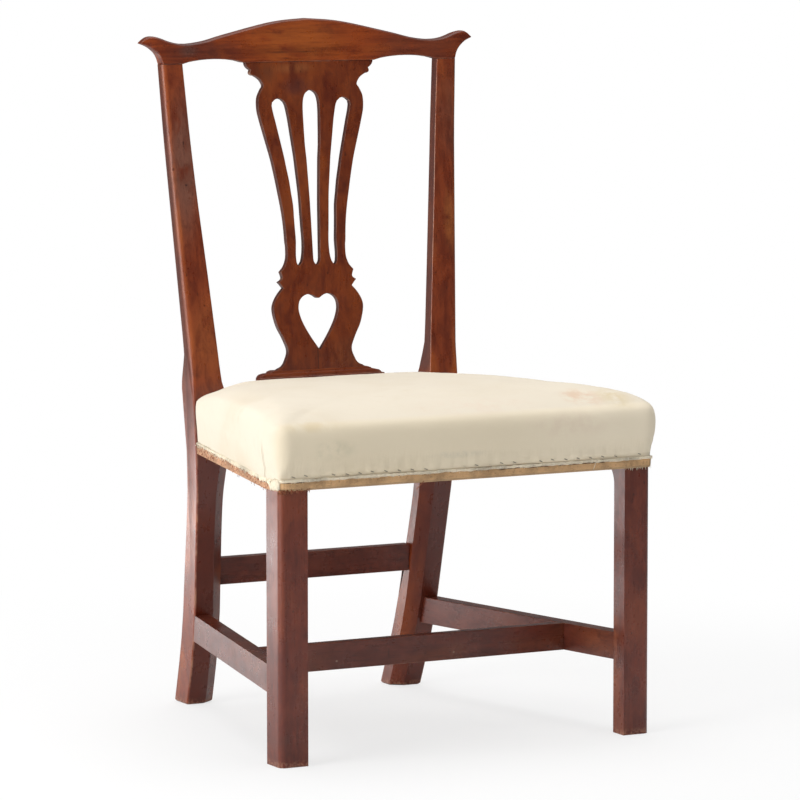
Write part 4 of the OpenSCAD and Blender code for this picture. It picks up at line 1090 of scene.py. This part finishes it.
class CHAIR_OT_frayed_edge(bpy.types.Operator):
    """Makes the front's turned hem, the sides' raw edge of muslin, and the threads of both"""

    bl_idname = "chair.frayed_edge"
    bl_label = "Frayed Edge"

    def execute(self, context):
        threads = context.scene.chair_trim.threads
        # The raw edge is paler than the cover's muslin: painted light, lifting it out of the shade
        # under the cover's bulge
        edge = webbing("raw_edge", (0.88, 0.78, 0.60), (0.30, 0.18, 0.11), 0.0008)
        rng = random.Random(7)
        bm = bmesh.new()
        front = front_run(260)
        hem(bm, front)
        for _ in range(threads):
            p, out, way = rng.choice(front)
            start = p + out * 0.0034 - UP * rng.uniform(0.0, 0.0026)
            long = rng.uniform(0.0012, 0.0036)
            thread(bm, rng, start, out * 0.4, long, 0.00018, 1.2)
        make_piece("front_hem", bm, edge)
        bm = bmesh.new()
        for side in (-1, 1):
            skirt(bm, edge_run(side, 240), rng)
        torn = make_piece("torn_edge", bm, edge)
        wall = torn.modifiers.new("Cloth", "SOLIDIFY")
        wall.thickness = 0.0004
        wall.offset = 0
        low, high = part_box("front_edge_band")
        self.tuft(low, high, threads, rng)
        self.loose_ends(low, high, rng)
        return {"FINISHED"}

    def tuft(self, low, high, threads, rng):
        """Russet threads: a tuft at the front left corner, ends along the sides, and one slant."""
        ahead = Vector((0, -0.5, 0))
        bm = bmesh.new()
        for _ in range(110):
            share = rng.random()
            x = -high.x - 0.003 + 0.046 * share * share
            y = low.y + rng.uniform(-0.0006, 0.0010)
            start = Vector((x, y, low.z + rng.uniform(-0.0005, 0.0030)))
            long = rng.uniform(0.002, 0.0065) * (1.1 - 0.5 * share)
            thread(bm, rng, start, ahead, long, 0.00036, 1.1)
        for side in (-1, 1):
            run = edge_run(side, 400)[20:]
            for _ in range(threads):
                p, out, way = rng.choice(run)
                start = p + out * 0.0006 - UP * rng.uniform(0.003, 0.0145)
                thread(bm, rng, start, out * 0.3, rng.uniform(0.0015, 0.004), 0.0003, 1.4)
        start = Vector((-0.0690, low.y - 0.0006, low.z + 0.002))
        strand(bm, [start + Vector((-0.0026, 0.0002, -0.0026)) * i for i in range(5)], 0.0005)
        russet = yarn("russet_thread", (0.36, 0.125, 0.06))
        make_piece("russet_tuft", bm, russet)

    def loose_ends(self, low, high, rng):
        """Cream threads under the front right corner, and one over the front strip."""
        ahead = Vector((0, -0.5, 0))
        bm = bmesh.new()
        for _ in range(26):
            x = high.x - rng.uniform(-0.001, 0.040)
            y = low.y + rng.uniform(-0.0004, 0.0004)
            start = Vector((x, y, low.z + rng.uniform(-0.0005, 0.0020)))
            thread(bm, rng, start, ahead, rng.uniform(0.002, 0.004), 0.00022, 0.5, 4)
        start = Vector((0.1905, low.y - 0.0038, high.z - 0.0015))
        strand(bm, [start + Vector((-0.0011, 0, -0.0027)) * i for i in range(5)], 0.0004)
        cream = yarn("cream_thread", (0.82, 0.74, 0.58))
        make_piece("loose_threads", bm, cream)


class CHAIR_OT_stage(bpy.types.Operator):
    """Sets the pale floor, the soft lamps, the plain backdrop and the camera"""

    bl_idname = "chair.stage"
    bl_label = "Stage"

    def execute(self, context):
        scene = context.scene
        s = scene.chair_stage
        scene.view_settings.view_transform = "Standard"
        self.floor()
        self.backdrop(scene)
        for lamp in LAMPS:
            self.lamp(scene, *lamp)
        lens = bpy.data.cameras.new("Camera")
        lens.lens = s.lens
        lens.sensor_width = 36
        lens.shift_y = CAMERA_SHIFT
        lens.clip_end = 50
        camera = bpy.data.objects.new("Camera", lens)
        scene.collection.objects.link(camera)
        camera.location = CAMERA_PLACE
        camera.rotation_euler = (math.pi / 2 - s.tilt, CAMERA_ROLL, -s.turn)
        scene.camera = camera
        return {"FINISHED"}

    def lamp(self, scene, name, place, width, height, power, target):
        """A soft rectangular lamp that the camera doesn't see, turned to a point."""
        light = bpy.data.lights.new(name, "AREA")
        light.shape = "RECTANGLE"
        light.size = width
        light.size_y = height
        light.energy = power
        made = bpy.data.objects.new(name, light)
        scene.collection.objects.link(made)
        made.location = place
        made.visible_camera = False
        aim = Vector(target) - Vector(place)
        made.rotation_euler = aim.to_track_quat("-Z", "Y").to_euler()

    def floor(self):
        """A pale round floor that turns plain white towards its rim, for the camera alone."""
        bm = bmesh.new()
        bmesh.ops.create_circle(bm, cap_ends=True, radius=4.0, segments=96)
        bmesh.ops.translate(bm, vec=(0, 0, -0.0005), verts=bm.verts)
        floor = new_object("floor", bm)
        r = Recipe("floor_paper")
        r.finish((0.88, 0.88, 0.88, 1), 0.9, **{"Specular IOR Level": 0.0})
        x, y, z = r.axes(r.place())
        far = r.maths("SQRT", x * x + y * y)
        seen = r.node("ShaderNodeLightPath", output="Is Camera Ray")
        fade = (0.72 + r.rise(far, 0.55, 1.3) * 0.28) * seen
        white = r.node("ShaderNodeEmission", {}, {"Color": (1, 1, 1, 1), "Strength": 1.0})
        inputs = {0: fade, 1: Term(r, r.shader.outputs[0]), 2: white}
        r.feed(r.output.inputs[0], r.node("ShaderNodeMixShader", {}, inputs))
        floor.data.materials.append(r.material)

    def backdrop(self, scene):
        """White to the camera, and for reflections bright behind the chair and dim before it."""
        world = scene.world or bpy.data.worlds.new("Backdrop")
        scene.world = world
        world.use_nodes = True
        tree = world.node_tree
        tree.nodes.clear()
        r = Recipe.__new__(Recipe)
        r.tree = tree
        output = tree.nodes.new("ShaderNodeOutputWorld")
        ray = tree.nodes.new("ShaderNodeLightPath")
        camera = Term(r, ray.outputs["Is Camera Ray"])
        glossy = Term(r, ray.outputs["Is Glossy Ray"])
        x, y, z = r.axes(r.node("ShaderNodeTexCoord", output="Generated"))
        behind = r.rise(y * 0.8 - x * 0.6, -0.5, 0.6)
        dim, bright, ambient = 0.09, 0.22, 0.35
        reflected = dim + behind * bright * (1 - r.rise(z, 0.05, 0.40))
        other = glossy * reflected + (1 - glossy) * ambient
        strength = camera + (1 - camera) * other
        sky = r.node("ShaderNodeBackground", {}, {"Color": (1, 1, 1, 1), "Strength": strength})
        tree.links.new(sky.socket, output.inputs[0])


OPERATORS = (
    CHAIR_OT_timber,
    CHAIR_OT_seat_frame,
    CHAIR_OT_underside,
    CHAIR_OT_seat_cover,
    CHAIR_OT_edge_bands,
    CHAIR_OT_frayed_edge,
    CHAIR_OT_stage,
)
SETTINGS = {
    "chair_timber": TimberSettings,
    "chair_seat": SeatSettings,
    "chair_trim": TrimSettings,
    "chair_stage": StageSettings,
}


class CHAIR_PT_panel(bpy.types.Panel):
    """Lists the steps that dress the chair, and their settings"""

    bl_idname = "CHAIR_PT_panel"
    bl_label = "Side Chair"
    bl_space_type = "VIEW_3D"
    bl_region_type = "UI"
    bl_category = "Chair"

    def draw(self, context):
        layout = self.layout
        for operator in OPERATORS:
            layout.operator(operator.bl_idname)
        for name, group in SETTINGS.items():
            box = layout.box()
            for prop in group.__annotations__:
                box.prop(getattr(context.scene, name), prop)


def register():
    for group in SETTINGS.values():
        bpy.utils.register_class(group)
    for name, group in SETTINGS.items():
        setattr(bpy.types.Scene, name, PointerProperty(type=group))
    for operator in OPERATORS:
        bpy.utils.register_class(operator)
    bpy.utils.register_class(CHAIR_PT_panel)


def unregister():
    bpy.utils.unregister_class(CHAIR_PT_panel)
    for operator in reversed(OPERATORS):
        bpy.utils.unregister_class(operator)
    for name in SETTINGS:
        delattr(bpy.types.Scene, name)
    for group in reversed(list(SETTINGS.values())):
        bpy.utils.unregister_class(group)


def main():
    register()
    for operator in OPERATORS:
        group, step = operator.bl_idname.split(".")
        getattr(getattr(bpy.ops, group), step)()


if __name__ == "__main__":
    main()
